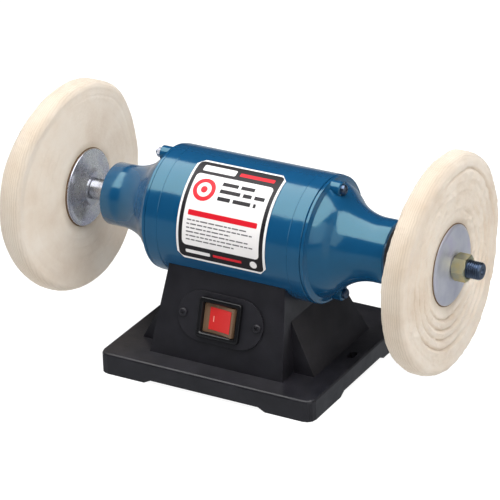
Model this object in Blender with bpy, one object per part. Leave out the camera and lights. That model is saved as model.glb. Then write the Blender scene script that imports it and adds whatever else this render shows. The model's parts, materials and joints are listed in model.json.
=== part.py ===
"""Bench buffer: a double-ended polishing machine with two 200 mm cloth wheels on a cast pedestal.

Frame: X runs along the spindle, -Y is the switch side and +Z is up. The origin is the middle of the
footprint, on the bench. Sizes below are in millimetres, and MM turns them into Blender's metres.
"""

import math

import bmesh
import bpy
from mathutils import Matrix, Vector

MM = 0.001
CLEAR = 0.3  # between pieces that touch
THROUGH = 5.0  # how far a cutter runs past the wall that it cuts

# Overall
AXIS_HEIGHT = 132.0
WHEEL_DIAMETER = 200.0

# Motor barrel, bored through
BARREL_RADIUS = 58.6
BARREL_WALL = 3.6
BARREL_HALF = 78.8
BARREL_LINE_INSET = 12.5  # of the shallow turned line near each end
BARREL_LINE = 0.4

# End bells
BELL_WALL = 4.0
BELL_LIP = 3.0
BELL_LIP_DROP = 0.5  # of the lip's edge below the barrel
SHOULDER_SLOPE = 0.82
FLARE_RADIUS = 50.0
BELL_LENGTH = 65.7  # from the barrel's end to the neck's
NECK_LENGTH = 14.5
NECK_WALL = 5.4  # of metal round the bearing
SPIGOT_DEPTH = 4.0
SEAL_RECESS = 9.0
SEAL_WALL = 4.3
SEAT_STEP = 1.8  # of metal between the bearing's seat and the seal

# Tie bolts, through both bells above and below the stator
TIE_INSET = 4.0  # of the bolts' middles inside the barrel's bore
TIE_RADIUS = 2.5
TIE_HOLE_CLEAR = 0.4
TIE_BOSS_RADIUS = 7.0
TIE_HEAD_RADIUS = 4.7
TIE_HEAD_CLEAR = 0.6  # of a head's edge over the bell's slope
TIE_HEAD = 4.0
TIE_TAIL = 2.0

# Ball bearings: 20 mm bore, 47 mm outside, 14 mm wide
BEARING_BORE = 20.0
BEARING_OUTSIDE = 47.0
BEARING_WIDTH = 14.0
LAND_RISE = 2.75  # of the races' lands from the pitch circle
BALL_RADIUS = 3.8
BALL_COUNT = 7
GROOVE_CLEAR = 0.3
CAGE_WIDTH = 2.4
CAGE_WALL = 1.5
WAVE_WASHER_WALL = 0.5
WAVE_HEIGHT = 0.15
WAVE_COUNT = 3

# Spindle
THREAD_RADIUS = 8.0
ROTOR_SEAT_STEP = 2.0  # of the rotor's seat over the journals
JOURNAL_REACH = 23.5  # from the bell's neck to the shoulder that stops the inner flange
THREAD_TAIL = 12.4  # of thread past the nut
CHAMFER = 1.0
CENTRE_HOLE_RADIUS = 2.2
CENTRE_HOLE_DEPTH = 3.0

# Stator and rotor
CORE_HALF = 38.0
AIR_GAP = 0.6
ROTOR_RADIUS = 32.0
SLOT_COUNT = 18
SLOT_MARGIN = 4.0  # from the slots' ends to the winding's outside
SLOT_SHARE = 0.5
WINDING_LIFT = 3.5  # of the windings' inside clear of the rotor
WINDING_GAP = 1.5  # to the tie bolts
WINDING_FLAT = 3.5  # left on the windings' ends between their rounded edges
WINDING_LENGTH = 21.0
END_RING_LENGTH = 8.0
END_RING_INSET = 1.5

# Buffing wheels and their flanges
WHEEL_HUB = 22.0
WHEEL_WIDTH = 25.0
FLANGE_RADIUS = 36.5
FLANGE_SHEET = 2.2
INNER_FLANGE_DEPTH = 7.4
INNER_FLANGE_HUB = 16.0
OUTER_FLANGE_DEPTH = 4.0
OUTER_FLANGE_HUB = 15.0
NUT_FLATS = 22.0
NUT_HEIGHT = 13.0

# Base casting
BASE_HALF_X = 109.5
BASE_HALF_Y = 97.0
BASE_HEIGHT = 20.5
BASE_CORNER = 9.0
BASE_FILLET = 2.0
BASE_WALL = 5.0
PAD_SIDE = 30.0
FRONT_NOTCH = 62.5
SIDE_NOTCH = 42.0
NOTCH_DEPTH = 3.6
NOTCH_SLOPE = 7.0

# Pedestal: a wide saddle and the switch box in front of it, each narrowing upwards
SADDLE_HALF_X = 89.0
SADDLE_HALF_Y = 53.0
SADDLE_TOP_X = 63.8  # half sizes at the hollow's roof
SADDLE_TOP_Y = 46.6
BOX_HALF_X = 68.5
BOX_FRONT = 74.6
BOX_TOP_X = 63.3
BOX_TOP_FRONT = 60.1
SADDLE_FLOOR = 7.0  # of metal under the barrel
BOX_HOLLOW_DROP = 52.0  # from the spindle down to the box's roof
BOX_HOLLOW_OVERLAP = 4.0  # of the box's hollow with the saddle's
PEDESTAL_WRAP = 0.45  # of the barrel's radius, from the spindle down to the pedestal's top

# Bench bolts and saddle bolts
BENCH_SLOT_WIDTH = 7.0
BENCH_SLOT_LENGTH = 13.0
BENCH_SLOT_EDGE = 10.0  # from the base's side to the slot's middle
BENCH_BOSS_HALF_Y = 13.0
BENCH_BOSS_HALF_X = 8.0
SADDLE_BOLT_SPACE = 12.0  # past the stator core's end
SADDLE_BOLT_Y = 14.0
SADDLE_BOLT_RADIUS = 3.0
SADDLE_BOSS_RADIUS = 5.0
SADDLE_BOSS_REACH = 3.5  # of the boss inside the barrel's bore
WIRE_HOLE_RADIUS = 4.0
WIRE_HOLE_SPACE = 6.0  # past the stator core's end

# Bottom cover
COVER_SHEET = 1.5
COVER_GAP = 0.5
COVER_SCREW_X = 60.0
COVER_SCREW_EDGE = 13.0
COVER_SCREW_RADIUS = 1.9
COVER_SCREW_HEAD = 3.6
COVER_BOSS_RADIUS = 5.0

# Switch, on the leaning front of the switch box
SWITCH_DROP = 1.5  # of the switch below the middle of the box's front
PLATE_HALF_WIDTH = 44.0
PLATE_HALF_HEIGHT = 23.0
PLATE_SHEET = 1.5
PLATE_SCREW_X = 37.8
PLATE_SCREW_RADIUS = 1.9
PLATE_SCREW_HEAD = 3.9
PLATE_SCREW_LENGTH = 8.0
BEZEL_HALF_WIDTH = 21.5
BEZEL_HALF_HEIGHT = 18.5
BEZEL_PROUD = 4.0
POCKET_HALF_WIDTH = 17.2
POCKET_HALF_HEIGHT = 13.6
POCKET_DEPTH = 13.5
SWITCH_WALL = 1.8
SWITCH_DEPTH = 19.0
TERMINAL_LENGTH = 8.0
TERMINAL_WIDTH = 6.0
TERMINAL_SHEET = 1.0
TERMINAL_X = 8.0
TERMINAL_Z = 6.0
ROCKER_PLAY = 0.4
ROCKER_SWING = 10.0  # degrees each way from level
ROCKER_CREST = 3.4
ROCKER_SINK = 1.6  # of the level rocker's crests below the bezel's face
ROCKER_VALLEY = 1.4
ROCKER_BELLY = 5.0

# Electrical parts in the base
CAPACITOR_RADIUS = 17.0
CAPACITOR_LENGTH = 60.0
CAPACITOR_Y = 21.0
CAPACITOR_DROP = 24.0  # of its axis below the hollow's roof
CLAMP_SHEET = 1.5
CLAMP_WIDTH = 12.0
CLAMP_TAB = 19.0
BLOCK_LENGTH = 40.0
BLOCK_WIDTH = 12.0
BLOCK_HEIGHT = 14.0
BLOCK_Y = -20.0
BLOCK_WAYS = 4
SMALL_SCREW_RADIUS = 1.9
EARTH_SCREW_X = -26.0
EARTH_SCREW_Y = 2.0
GLAND_X = 45.0
GLAND_HEIGHT = 38.0
GLAND_RADIUS = 7.0
GLAND_BORE_RADIUS = 4.4
GLAND_FLATS = 18.3
GLAND_HEX_HEIGHT = 5.0
GLAND_CAP_RADIUS = 8.4
GLAND_CAP_HEIGHT = 10.0
GLAND_NUT_HEIGHT = 4.0

# Front label
LABEL_HALF_WIDTH = 45.0
LABEL_LOW = -18.0  # degrees above the spindle, from the front
LABEL_HIGH = 79.0
LABEL_SHEET = 0.5
LABEL_CORNER = 6.0

# Facets
ROUND = 32
MIDDLE_ROUND = 24
SMALL_ROUND = 20
TINY_ROUND = 8

WHEEL_RADIUS = WHEEL_DIAMETER / 2
BORE_RADIUS = BARREL_RADIUS - BARREL_WALL
BELL_START = BARREL_HALF + CLEAR
NECK_RADIUS = BEARING_OUTSIDE / 2 + CLEAR + NECK_WALL
NECK_END = BARREL_HALF + BELL_LENGTH
NECK_START = NECK_END - NECK_LENGTH
SEAL_START = NECK_END - SEAL_RECESS
BEARING_SEAT_END = SEAL_START - SEAT_STEP
BEARING_END = BEARING_SEAT_END - CLEAR - WAVE_WASHER_WALL - 2 * WAVE_HEIGHT - CLEAR
BEARING_START = BEARING_END - BEARING_WIDTH
TIE_CIRCLE = BORE_RADIUS - TIE_INSET
WINDING_INNER = ROTOR_RADIUS + WINDING_LIFT
WINDING_OUTER = TIE_CIRCLE - TIE_RADIUS - WINDING_GAP
WINDING_BULGE = (WINDING_OUTER - WINDING_INNER - WINDING_FLAT) / 2
SHOULDER_ANGLE = math.atan(SHOULDER_SLOPE)
SHOULDER_FOOT = NECK_START - FLARE_RADIUS * math.sin(SHOULDER_ANGLE)
SHOULDER_FOOT_RADIUS = NECK_RADIUS + FLARE_RADIUS * (1 - math.cos(SHOULDER_ANGLE))
TIE_SEAT_RADIUS = TIE_CIRCLE - TIE_HEAD_RADIUS - TIE_HEAD_CLEAR
TIE_BOSS_END = round(SHOULDER_FOOT - (TIE_SEAT_RADIUS - SHOULDER_FOOT_RADIUS) / SHOULDER_SLOPE, 1)
JOURNAL_RADIUS = BEARING_BORE / 2
ROTOR_SEAT_RADIUS = JOURNAL_RADIUS + ROTOR_SEAT_STEP
SHOULDER_AT = NECK_END + JOURNAL_REACH
PITCH_RADIUS = (BEARING_BORE + BEARING_OUTSIDE) / 4
RACE_WALL = (BEARING_OUTSIDE - BEARING_BORE) / 4 - LAND_RISE
INNER_FLANGE_START = SHOULDER_AT + CLEAR
WHEEL_START = INNER_FLANGE_START + INNER_FLANGE_DEPTH + CLEAR
WHEEL_END = WHEEL_START + WHEEL_HUB
OUTER_FLANGE_START = WHEEL_END + CLEAR
NUT_START = OUTER_FLANGE_START + OUTER_FLANGE_DEPTH + CLEAR
SPINDLE_HALF = NUT_START + NUT_HEIGHT + THREAD_TAIL
HOLLOW_TOP = AXIS_HEIGHT - BARREL_RADIUS - SADDLE_FLOOR
BOX_HOLLOW_TOP = AXIS_HEIGHT - BOX_HOLLOW_DROP
PEDESTAL_TOP = AXIS_HEIGHT - PEDESTAL_WRAP * BARREL_RADIUS
PEDESTAL_RISE = HOLLOW_TOP - BASE_HEIGHT
SADDLE_LEAN_X = (SADDLE_HALF_X - SADDLE_TOP_X) / PEDESTAL_RISE
SADDLE_LEAN_Y = (SADDLE_HALF_Y - SADDLE_TOP_Y) / PEDESTAL_RISE
BOX_LEAN_X = (BOX_HALF_X - BOX_TOP_X) / PEDESTAL_RISE
BOX_LEAN_Y = (BOX_FRONT - BOX_TOP_FRONT) / PEDESTAL_RISE
SADDLE_BOLT_X = CORE_HALF + SADDLE_BOLT_SPACE
WIRE_HOLE_X = -(CORE_HALF + WIRE_HOLE_SPACE)
SWITCH_HEIGHT = (BASE_HEIGHT + PEDESTAL_TOP) / 2 - SWITCH_DROP
PLATE_UNDERSIDE = BASE_HEIGHT - BASE_WALL
COVER_BOTTOM = NOTCH_DEPTH + CLEAR
COVER_TOP = COVER_BOTTOM + COVER_SHEET
BENCH_SLOT_X = BASE_HALF_X - BENCH_SLOT_EDGE


# ---------------------------------------------------------------- materials


def linear(channel):
    """One sRGB channel from 0 to 255 as the linear value that a shader takes."""
    share = channel / 255
    return share / 12.92 if share <= 0.04045 else ((share + 0.055) / 1.055) ** 2.4


def finish(name, rgb, roughness, metallic=0.0):
    material = bpy.data.materials.new(name)
    material.use_nodes = True
    shader = material.node_tree.nodes["Principled BSDF"]
    shader.inputs["Base Color"].default_value = (*map(linear, rgb), 1)
    shader.inputs["Roughness"].default_value = roughness
    shader.inputs["Metallic"].default_value = metallic
    return material


# ---------------------------------------------------------------- shapes


def ring_points(radius, count, turn=0.0):
    """Points round a circle, as (across, up) pairs."""
    angles = (turn + 2 * math.pi * i / count for i in range(count))
    return [(radius * math.cos(a), radius * math.sin(a)) for a in angles]


def arc(centre, radius, start, end, steps):
    """Points of an arc, ends included, for angles in degrees."""
    angles = (math.radians(start + (end - start) * i / steps) for i in range(steps + 1))
    return [(centre[0] + radius * math.cos(a), centre[1] + radius * math.sin(a)) for a in angles]


def rounded_rectangle(half_x, half_y, radius, steps=3):
    points = []
    for sign_x, sign_y, start in ((1, 1, 0), (-1, 1, 90), (-1, -1, 180), (1, -1, 270)):
        centre = (sign_x * (half_x - radius), sign_y * (half_y - radius))
        points += arc(centre, radius, start, start + 90, steps)
    return points


def hexagon(flats):
    return ring_points(flats / math.sqrt(3), 6)


def loft(rings):
    """A solid through rings of points, all with the same count, with flat ends."""
    shape = bmesh.new()
    rows = [[shape.verts.new(point) for point in ring] for ring in rings]
    count = len(rows[0])
    for low, high in zip(rows, rows[1:]):
        for i in range(count):
            after = (i + 1) % count
            shape.faces.new((low[i], low[after], high[after], high[i]))
    shape.faces.new(rows[0])
    shape.faces.new(rows[-1])
    bmesh.ops.recalc_face_normals(shape, faces=shape.faces)
    return shape


def prism(outline, low, high, axis="Z"):
    """An outline of (across, up) points extruded along an axis."""
    if axis == "X":
        return loft([[(at, a, b) for a, b in outline] for at in (low, high)])
    if axis == "Y":
        return loft([[(a, at, b) for a, b in outline] for at in (low, high)])
    return loft([[(a, b, at) for a, b in outline] for at in (low, high)])


def block(low, high):
    outline = [(low[0], low[1]), (high[0], low[1]), (high[0], high[1]), (low[0], high[1])]
    return prism(outline, low[2], high[2])


def frustum(low, low_z, high, high_z):
    """A box with different half sizes (x, y back, y front) at its two ends."""
    rings = []
    for (half_x, back, front), z in ((low, low_z), (high, high_z)):
        rings.append([(-half_x, -front, z), (half_x, -front, z), (half_x, back, z), (-half_x, back, z)])
    return loft(rings)


def turned(profile, count=ROUND):
    """A profile of (x, radius) points turned about the X axis. A profile that ends at radius 0 is solid."""
    shape = bmesh.new()
    rows = []
    for x, radius in profile:
        if radius == 0:
            rows.append([shape.verts.new((x, 0, 0))])
        else:
            rows.append([shape.verts.new((x, a, b)) for a, b in ring_points(radius, count)])
    ends_open = len(rows[0]) > 1
    pairs = list(zip(rows, rows[1:] + rows[:1] if ends_open else rows[1:]))
    for first, second in pairs:
        for i in range(count):
            after = (i + 1) % count
            corners = [first[i % len(first)], first[after % len(first)]]
            corners += [second[after % len(second)], second[i % len(second)]]
            shape.faces.new(list(dict.fromkeys(corners)))
    bmesh.ops.recalc_face_normals(shape, faces=shape.faces)
    return shape


def mirrored(profile, side):
    return [(side * x, radius) for x, radius in profile]


def moved(shape, offset):
    bmesh.ops.translate(shape, verts=shape.verts, vec=Vector(offset))
    return shape


def turned_by(shape, degrees, axis):
    bmesh.ops.rotate(shape, verts=shape.verts, matrix=Matrix.Rotation(math.radians(degrees), 3, axis))
    return shape


def peg(radius, low, high, axis="Z", at=(0, 0), count=TINY_ROUND):
    """A cylinder along an axis, with its middle at the two other coordinates."""
    outline = [(a + at[0], b + at[1]) for a, b in ring_points(radius, count)]
    return prism(outline, low, high, axis)


def drill(radius, low, high, axis="Z", at=(0, 0), count=TINY_ROUND):
    """A cutter whose flats, not its corners, are at the radius, so that a round piece of that size fits."""
    return peg(radius / math.cos(math.pi / count), low, high, axis, at, count)


# ---------------------------------------------------------------- objects


def solid(name, shape, material, parent=None, smooth=35):
    """Turns a shape in millimetres into a named object, in its parent's frame."""
    bmesh.ops.scale(shape, verts=shape.verts, vec=Vector((MM, MM, MM)))
    mesh = bpy.data.meshes.new(name)
    shape.to_mesh(mesh)
    shape.free()
    mesh.shade_smooth()
    mesh.set_sharp_from_angle(angle=math.radians(smooth))
    if material:
        mesh.materials.append(material)
    obj = bpy.data.objects.new(name, mesh)
    obj.parent = parent
    bpy.context.scene.collection.objects.link(obj)
    return obj


def work(target, shapes, operation):
    """Cuts shapes from a target, or joins them to it, and keeps the result as the target's mesh."""
    for shape in shapes:
        tool = solid("tool", shape, None, target.parent)
        modifier = target.modifiers.new("work", "BOOLEAN")
        modifier.operation = operation
        modifier.object = tool
        graph = bpy.context.evaluated_depsgraph_get()
        mesh = bpy.data.meshes.new_from_object(target.evaluated_get(graph))
        target.modifiers.clear()
        target.data = mesh
        bpy.data.objects.remove(tool)
    return target


def cut(target, *shapes):
    return work(target, shapes, "DIFFERENCE")


def join(target, *shapes):
    return work(target, shapes, "UNION")


def axis_empty(name, location, rotation=(0, 0, 0)):
    empty = bpy.data.objects.new(name, None)
    empty.location = Vector(location) * MM
    empty.rotation_euler = rotation
    bpy.context.scene.collection.objects.link(empty)
    return empty


def screw(name, material, shank, length, head_radius, head, at, direction=1, parent=None):
    """A round-headed screw along Z. Its head starts at the given point, and its shank runs the other way."""
    shape = loft(
        [
            [(x, y, z) for x, y in ring_points(radius, TINY_ROUND)]
            for radius, z in (
                (shank, length * direction),
                (shank, 0),
                (head_radius, 0),
                (head_radius, -head * 0.6 * direction),
                (head_radius * 0.6, -head * direction),
            )
        ]
    )
    return solid(name, moved(shape, at), material, parent)


# ---------------------------------------------------------------- base


def leaning(half_x, half_y, lean_x, lean_y, z):
    rise = z - BASE_HEIGHT
    return half_x - lean_x * rise, half_y - lean_y * rise


def saddle_size(z, wall=0.0):
    x, y = leaning(SADDLE_HALF_X, SADDLE_HALF_Y, SADDLE_LEAN_X, SADDLE_LEAN_Y, z)
    return x - wall, y - wall


def box_size(z, wall=0.0):
    x, y = leaning(BOX_HALF_X, BOX_FRONT, BOX_LEAN_X, BOX_LEAN_Y, z)
    return x - wall, y - wall


def base_plate():
    """The skirted plate, with a rounded top edge."""
    layers = (
        (0, 0),
        (BASE_HEIGHT - BASE_FILLET, 0),
        (BASE_HEIGHT - 0.3 * BASE_FILLET, 0.3 * BASE_FILLET),
        (BASE_HEIGHT, BASE_FILLET),
    )
    rings = []
    for z, inset in layers:
        outline = rounded_rectangle(BASE_HALF_X - inset, BASE_HALF_Y - inset, BASE_CORNER - inset)
        rings.append([(x, y, z) for x, y in outline])
    return loft(rings)


def saddle_block(top):
    low = saddle_size(PLATE_UNDERSIDE + 1)
    high = saddle_size(top)
    return frustum((low[0], low[1], low[1]), PLATE_UNDERSIDE + 1, (high[0], high[1], high[1]), top)


def box_block(top):
    low = box_size(PLATE_UNDERSIDE + 1)
    high = box_size(top)
    return frustum((low[0], 0, low[1]), PLATE_UNDERSIDE + 1, (high[0], 0, high[1]), top)


def saddle_hollow():
    low = saddle_size(PLATE_UNDERSIDE - 1, BASE_WALL)
    high = saddle_size(HOLLOW_TOP, BASE_WALL)
    return frustum((low[0], low[1], low[1]), PLATE_UNDERSIDE - 1, (high[0], high[1], high[1]), HOLLOW_TOP)


def box_hollow():
    low = box_size(PLATE_UNDERSIDE - 1, BASE_WALL)
    high = box_size(BOX_HOLLOW_TOP, BASE_WALL)
    back = BOX_HOLLOW_OVERLAP - saddle_size(HOLLOW_TOP, BASE_WALL)[1]
    return frustum((low[0], back, low[1]), PLATE_UNDERSIDE - 1, (high[0], back, high[1]), BOX_HOLLOW_TOP)


def notch(half, low, high, axis):
    top = half - NOTCH_SLOPE
    outline = [(-half, 0), (-half, -THROUGH), (half, -THROUGH), (half, 0)]
    outline += [(top, NOTCH_DEPTH), (-top, NOTCH_DEPTH)]
    return prism(outline, low, high, axis)


def corner_pad(side_x, side_y):
    corner = (side_x * (BASE_HALF_X - BASE_WALL / 2), side_y * (BASE_HALF_Y - BASE_WALL / 2))
    inner = (side_x * (BASE_HALF_X - PAD_SIDE), side_y * (BASE_HALF_Y - PAD_SIDE))
    low = (min(corner[0], inner[0]), min(corner[1], inner[1]), 0)
    high = (max(corner[0], inner[0]), max(corner[1], inner[1]), PLATE_UNDERSIDE + 1)
    return block(low, high)


def bench_boss(side):
    inner = side * (BENCH_SLOT_X - BENCH_BOSS_HALF_X)
    outer = side * (BASE_HALF_X - BASE_WALL / 2)
    low = (min(inner, outer), -BENCH_BOSS_HALF_Y, COVER_BOTTOM)
    return block(low, (max(inner, outer), BENCH_BOSS_HALF_Y, PLATE_UNDERSIDE + 1))


def bench_slot(side):
    outline = rounded_rectangle(BENCH_SLOT_WIDTH / 2, BENCH_SLOT_LENGTH / 2, BENCH_SLOT_WIDTH / 2 - 0.01)
    return moved(prism(outline, -THROUGH, BASE_HEIGHT + THROUGH), (side * BENCH_SLOT_X, 0, 0))


def cover_screw_places():
    y = BASE_HALF_Y - COVER_SCREW_EDGE
    return [(x, side * y) for side in (-1, 1) for x in (-COVER_SCREW_X, COVER_SCREW_X)]


def saddle_bolt_places():
    return [(x, y) for x in (-SADDLE_BOLT_X, SADDLE_BOLT_X) for y in (-SADDLE_BOLT_Y, SADDLE_BOLT_Y)]


def switch_frame():
    """The frame of the leaning front face: X across, Z up the slope, -Y straight out of it."""
    half_y = box_size(SWITCH_HEIGHT)[1]
    return (0, -half_y, SWITCH_HEIGHT), -math.atan(BOX_LEAN_Y)


def switch_hole():
    """The outline of the hole that the switch's body goes through."""
    room = SWITCH_WALL + CLEAR
    return rounded_rectangle(POCKET_HALF_WIDTH + room, POCKET_HALF_HEIGHT + room, 1.5, 2)


def gland_frame():
    half_y = saddle_size(GLAND_HEIGHT)[1]
    return (GLAND_X, half_y, GLAND_HEIGHT), math.atan(SADDLE_LEAN_Y)


def in_frame(shape, frame):
    place, lean = frame
    turned_by(shape, math.degrees(lean), "X")
    return moved(shape, place)


def base_casting(material):
    body = solid("base_casting", base_plate(), material)
    join(body, saddle_block(PEDESTAL_TOP), box_block(PEDESTAL_TOP))
    skirt = rounded_rectangle(BASE_HALF_X - BASE_WALL, BASE_HALF_Y - BASE_WALL, BASE_CORNER - BASE_WALL)
    cut(body, prism(skirt, -THROUGH, PLATE_UNDERSIDE), saddle_hollow(), box_hollow())
    join(body, *[corner_pad(x, y) for x in (-1, 1) for y in (-1, 1)])
    join(body, *[bench_boss(side) for side in (-1, 1)])
    for place in cover_screw_places():
        join(body, peg(COVER_BOSS_RADIUS, COVER_TOP + CLEAR, PLATE_UNDERSIDE + 1, at=place))
        cut(body, drill(COVER_SCREW_RADIUS + CLEAR, 0, PLATE_UNDERSIDE - 1, at=place))
    reach = 2 * BASE_HALF_X
    cut(body, notch(FRONT_NOTCH, -reach, reach, "Y"), notch(SIDE_NOTCH, -reach, reach, "X"))
    cut(body, *[bench_slot(side) for side in (-1, 1)])
    seat = BARREL_RADIUS + CLEAR
    cut(body, moved(turned([(-reach, 0), (-reach, seat), (reach, seat), (reach, 0)]), (0, 0, AXIS_HEIGHT)))
    above = HOLLOW_TOP + 2 * SADDLE_FLOOR
    for place in saddle_bolt_places():
        cut(body, drill(SADDLE_BOLT_RADIUS + CLEAR, HOLLOW_TOP - 1, above, at=place))
    cut(body, drill(WIRE_HOLE_RADIUS, HOLLOW_TOP - 1, above, at=(WIRE_HOLE_X, 0)))
    cut(body, in_frame(prism(switch_hole(), -THROUGH, 2 * BASE_WALL, "Y"), switch_frame()))
    for side in (-1, 1):
        at = (side * PLATE_SCREW_X, 0)
        screw_hole = drill(PLATE_SCREW_RADIUS + CLEAR, -THROUGH, 2 * BASE_WALL, "Y", at)
        cut(body, in_frame(screw_hole, switch_frame()))
    cut(body, in_frame(drill(GLAND_RADIUS + CLEAR, -2 * BASE_WALL, THROUGH, "Y"), gland_frame()))
    for x, y in roof_screw_places():
        cut(body, drill(SMALL_SCREW_RADIUS + CLEAR, HOLLOW_TOP - 1, HOLLOW_TOP + 5, at=(x, y)))
    return body


def bottom_cover(material):
    """A sheet that stops short of the corner pads and of the bench bolts' bosses."""
    half_x = BENCH_SLOT_X - BENCH_BOSS_HALF_X - COVER_GAP
    half_y = BASE_HALF_Y - BASE_WALL - COVER_GAP
    sheet = block((-half_x, -half_y, COVER_BOTTOM), (half_x, half_y, COVER_TOP))
    body = solid("bottom_cover", sheet, material)
    pad_x = BASE_HALF_X - PAD_SIDE - COVER_GAP
    pad_y = BASE_HALF_Y - PAD_SIDE - COVER_GAP
    reach = 2 * BASE_HALF_X
    for side_x in (-1, 1):
        for side_y in (-1, 1):
            low_x, high_x = sorted((side_x * pad_x, side_x * reach))
            low_y, high_y = sorted((side_y * pad_y, side_y * reach))
            cut(body, block((low_x, low_y, -THROUGH), (high_x, high_y, 3 * THROUGH)))
    for place in cover_screw_places():
        cut(body, drill(COVER_SCREW_RADIUS + CLEAR, -THROUGH, 3 * THROUGH, at=place))
    return body


# ---------------------------------------------------------------- motor housing


def motor_barrel(material, axis):
    line = BARREL_HALF - BARREL_LINE_INSET
    outer = [(-BARREL_HALF, BARREL_RADIUS)]
    for at in (-line, line):
        outer.append((at - BARREL_LINE, BARREL_RADIUS))
        outer.append((at, BARREL_RADIUS - BARREL_LINE))
        outer.append((at + BARREL_LINE, BARREL_RADIUS))
    outer.append((BARREL_HALF, BARREL_RADIUS))
    profile = outer + [(BARREL_HALF, BORE_RADIUS), (-BARREL_HALF, BORE_RADIUS)]
    body = solid("motor_barrel", turned(profile), material, axis)
    for x, y in saddle_bolt_places():
        wall = -math.sqrt(BORE_RADIUS**2 - y**2)
        inner_edge = math.sqrt(BORE_RADIUS**2 - (abs(y) - SADDLE_BOSS_RADIUS) ** 2)
        outer_edge = math.sqrt(BARREL_RADIUS**2 - (abs(y) + SADDLE_BOSS_RADIUS) ** 2)
        low = -(inner_edge + outer_edge) / 2
        join(body, peg(SADDLE_BOSS_RADIUS, low, wall + SADDLE_BOSS_REACH + 2, at=(x, y)))
        end = wall + SADDLE_BOSS_REACH
        cut(body, drill(SADDLE_BOLT_RADIUS + CLEAR, -BARREL_RADIUS - THROUGH, end, at=(x, y)))
    cut(body, drill(WIRE_HOLE_RADIUS, -BARREL_RADIUS - THROUGH, -BORE_RADIUS + THROUGH, at=(WIRE_HOLE_X, 0)))
    return body


def bell_flare():
    """The outside from the neck back to the shoulder: an arc that meets the shoulder's straight slope."""
    centre = (NECK_START, NECK_RADIUS + FLARE_RADIUS)
    return arc(centre, FLARE_RADIUS, -90, -90 - math.degrees(SHOULDER_ANGLE), 5)


def bell_outside():
    """(x, radius) points from the neck's end to the lip."""
    flare = bell_flare()
    lip_end = BELL_START + BELL_LIP
    lip_radius = BARREL_RADIUS - BELL_LIP_DROP
    foot = flare[-1]
    shoulder_radius = foot[1] + SHOULDER_SLOPE * (foot[0] - lip_end - 1.5)
    middle = ((lip_end + foot[0]) / 2, (shoulder_radius + foot[1]) / 2 + 0.9)
    return (
        [(NECK_END, NECK_RADIUS - 0.8), (NECK_END - 0.8, NECK_RADIUS)]
        + flare
        + [middle, (lip_end + 1.5, shoulder_radius), (lip_end, lip_radius - 1.2), (lip_end - 0.8, lip_radius)]
        + [(BELL_START + 0.6, lip_radius), (BELL_START, lip_radius - 0.6)]
    )


def bell_inside():
    """(x, radius) points from the lip in to the seal recess."""
    flare = bell_flare()
    foot = flare[-1]
    spigot = BORE_RADIUS - CLEAR
    seat = BEARING_OUTSIDE / 2 + CLEAR
    seat_start = BEARING_START - CLEAR - 1
    return [
        (BELL_START, spigot),
        (BARREL_HALF - SPIGOT_DEPTH, spigot),
        (BARREL_HALF - SPIGOT_DEPTH, spigot - BELL_WALL),
        (BELL_START + 1, spigot - BELL_WALL),
        (foot[0] - 1, foot[1] - BELL_WALL + 0.5),
        (seat_start - 4, seat + 3),
        (seat_start, seat),
        (BEARING_SEAT_END, seat),
        (BEARING_SEAT_END, seat - RACE_WALL),
        (SEAL_START, seat - RACE_WALL),
        (SEAL_START, NECK_RADIUS - SEAL_WALL),
        (NECK_END, NECK_RADIUS - SEAL_WALL),
    ]


def end_bell(name, side, material, axis):
    profile = mirrored(bell_outside() + bell_inside(), side)
    body = solid(name, turned(profile), material, axis)
    start = BELL_START + 0.5 * BELL_LIP
    for up in (-1, 1):
        low, high = sorted((side * start, side * TIE_BOSS_END))
        join(body, peg(TIE_BOSS_RADIUS, low, high, "X", (0, up * TIE_CIRCLE), SMALL_ROUND - 8))
    hole = TIE_RADIUS + TIE_HOLE_CLEAR
    low, high = sorted((side * (BARREL_HALF - 2 * SPIGOT_DEPTH), side * (TIE_BOSS_END + THROUGH)))
    for up in (-1, 1):
        cut(body, drill(hole, low, high, "X", (0, up * TIE_CIRCLE)))
    return body


def tie_bolt(name, up, material, axis):
    head_at = TIE_BOSS_END + CLEAR
    tail = -(TIE_BOSS_END + CLEAR + TIE_HEAD + TIE_TAIL)
    profile = [(tail, 0), (tail, TIE_RADIUS - 0.5), (tail + 0.5, TIE_RADIUS), (head_at, TIE_RADIUS)]
    profile += [(head_at, TIE_HEAD_RADIUS), (head_at + 0.6 * TIE_HEAD, TIE_HEAD_RADIUS)]
    profile += [(head_at + TIE_HEAD, 0.55 * TIE_HEAD_RADIUS), (head_at + TIE_HEAD, 0)]
    return solid(name, moved(turned(profile, TINY_ROUND), (0, 0, up * TIE_CIRCLE)), material, axis)


def tie_nut(name, up, material, axis):
    start = -(TIE_BOSS_END + CLEAR)
    outline = [(a, b + up * TIE_CIRCLE) for a, b in hexagon(2 * TIE_HEAD_RADIUS * 0.87)]
    body = solid(name, prism(outline, start - TIE_HEAD, start, "X"), material, axis)
    return cut(body, drill(TIE_RADIUS + CLEAR, start - 2 * TIE_HEAD, start + 1, "X", (0, up * TIE_CIRCLE)))


def saddle_bolts(material):
    for number, (x, y) in enumerate(saddle_bolt_places(), 1):
        top = AXIS_HEIGHT - math.sqrt(BORE_RADIUS**2 - y**2) + SADDLE_BOSS_REACH - 1
        seat = HOLLOW_TOP - CLEAR
        screw(f"saddle_bolt_{number}", material, SADDLE_BOLT_RADIUS, top - seat, 5.0, 4.5, (x, y, seat))


def dust_seal(name, side, material, axis):
    outer = NECK_RADIUS - SEAL_WALL - CLEAR
    inner = JOURNAL_RADIUS + 0.6
    low, high = SEAL_START + CLEAR, NECK_END - 1.2
    profile = [(low, inner), (high - 2.5, inner), (high, inner + 4), (high, outer), (low, outer)]
    return solid(name, turned(mirrored(profile, side), SMALL_ROUND), material, axis)


# ---------------------------------------------------------------- stator


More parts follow.
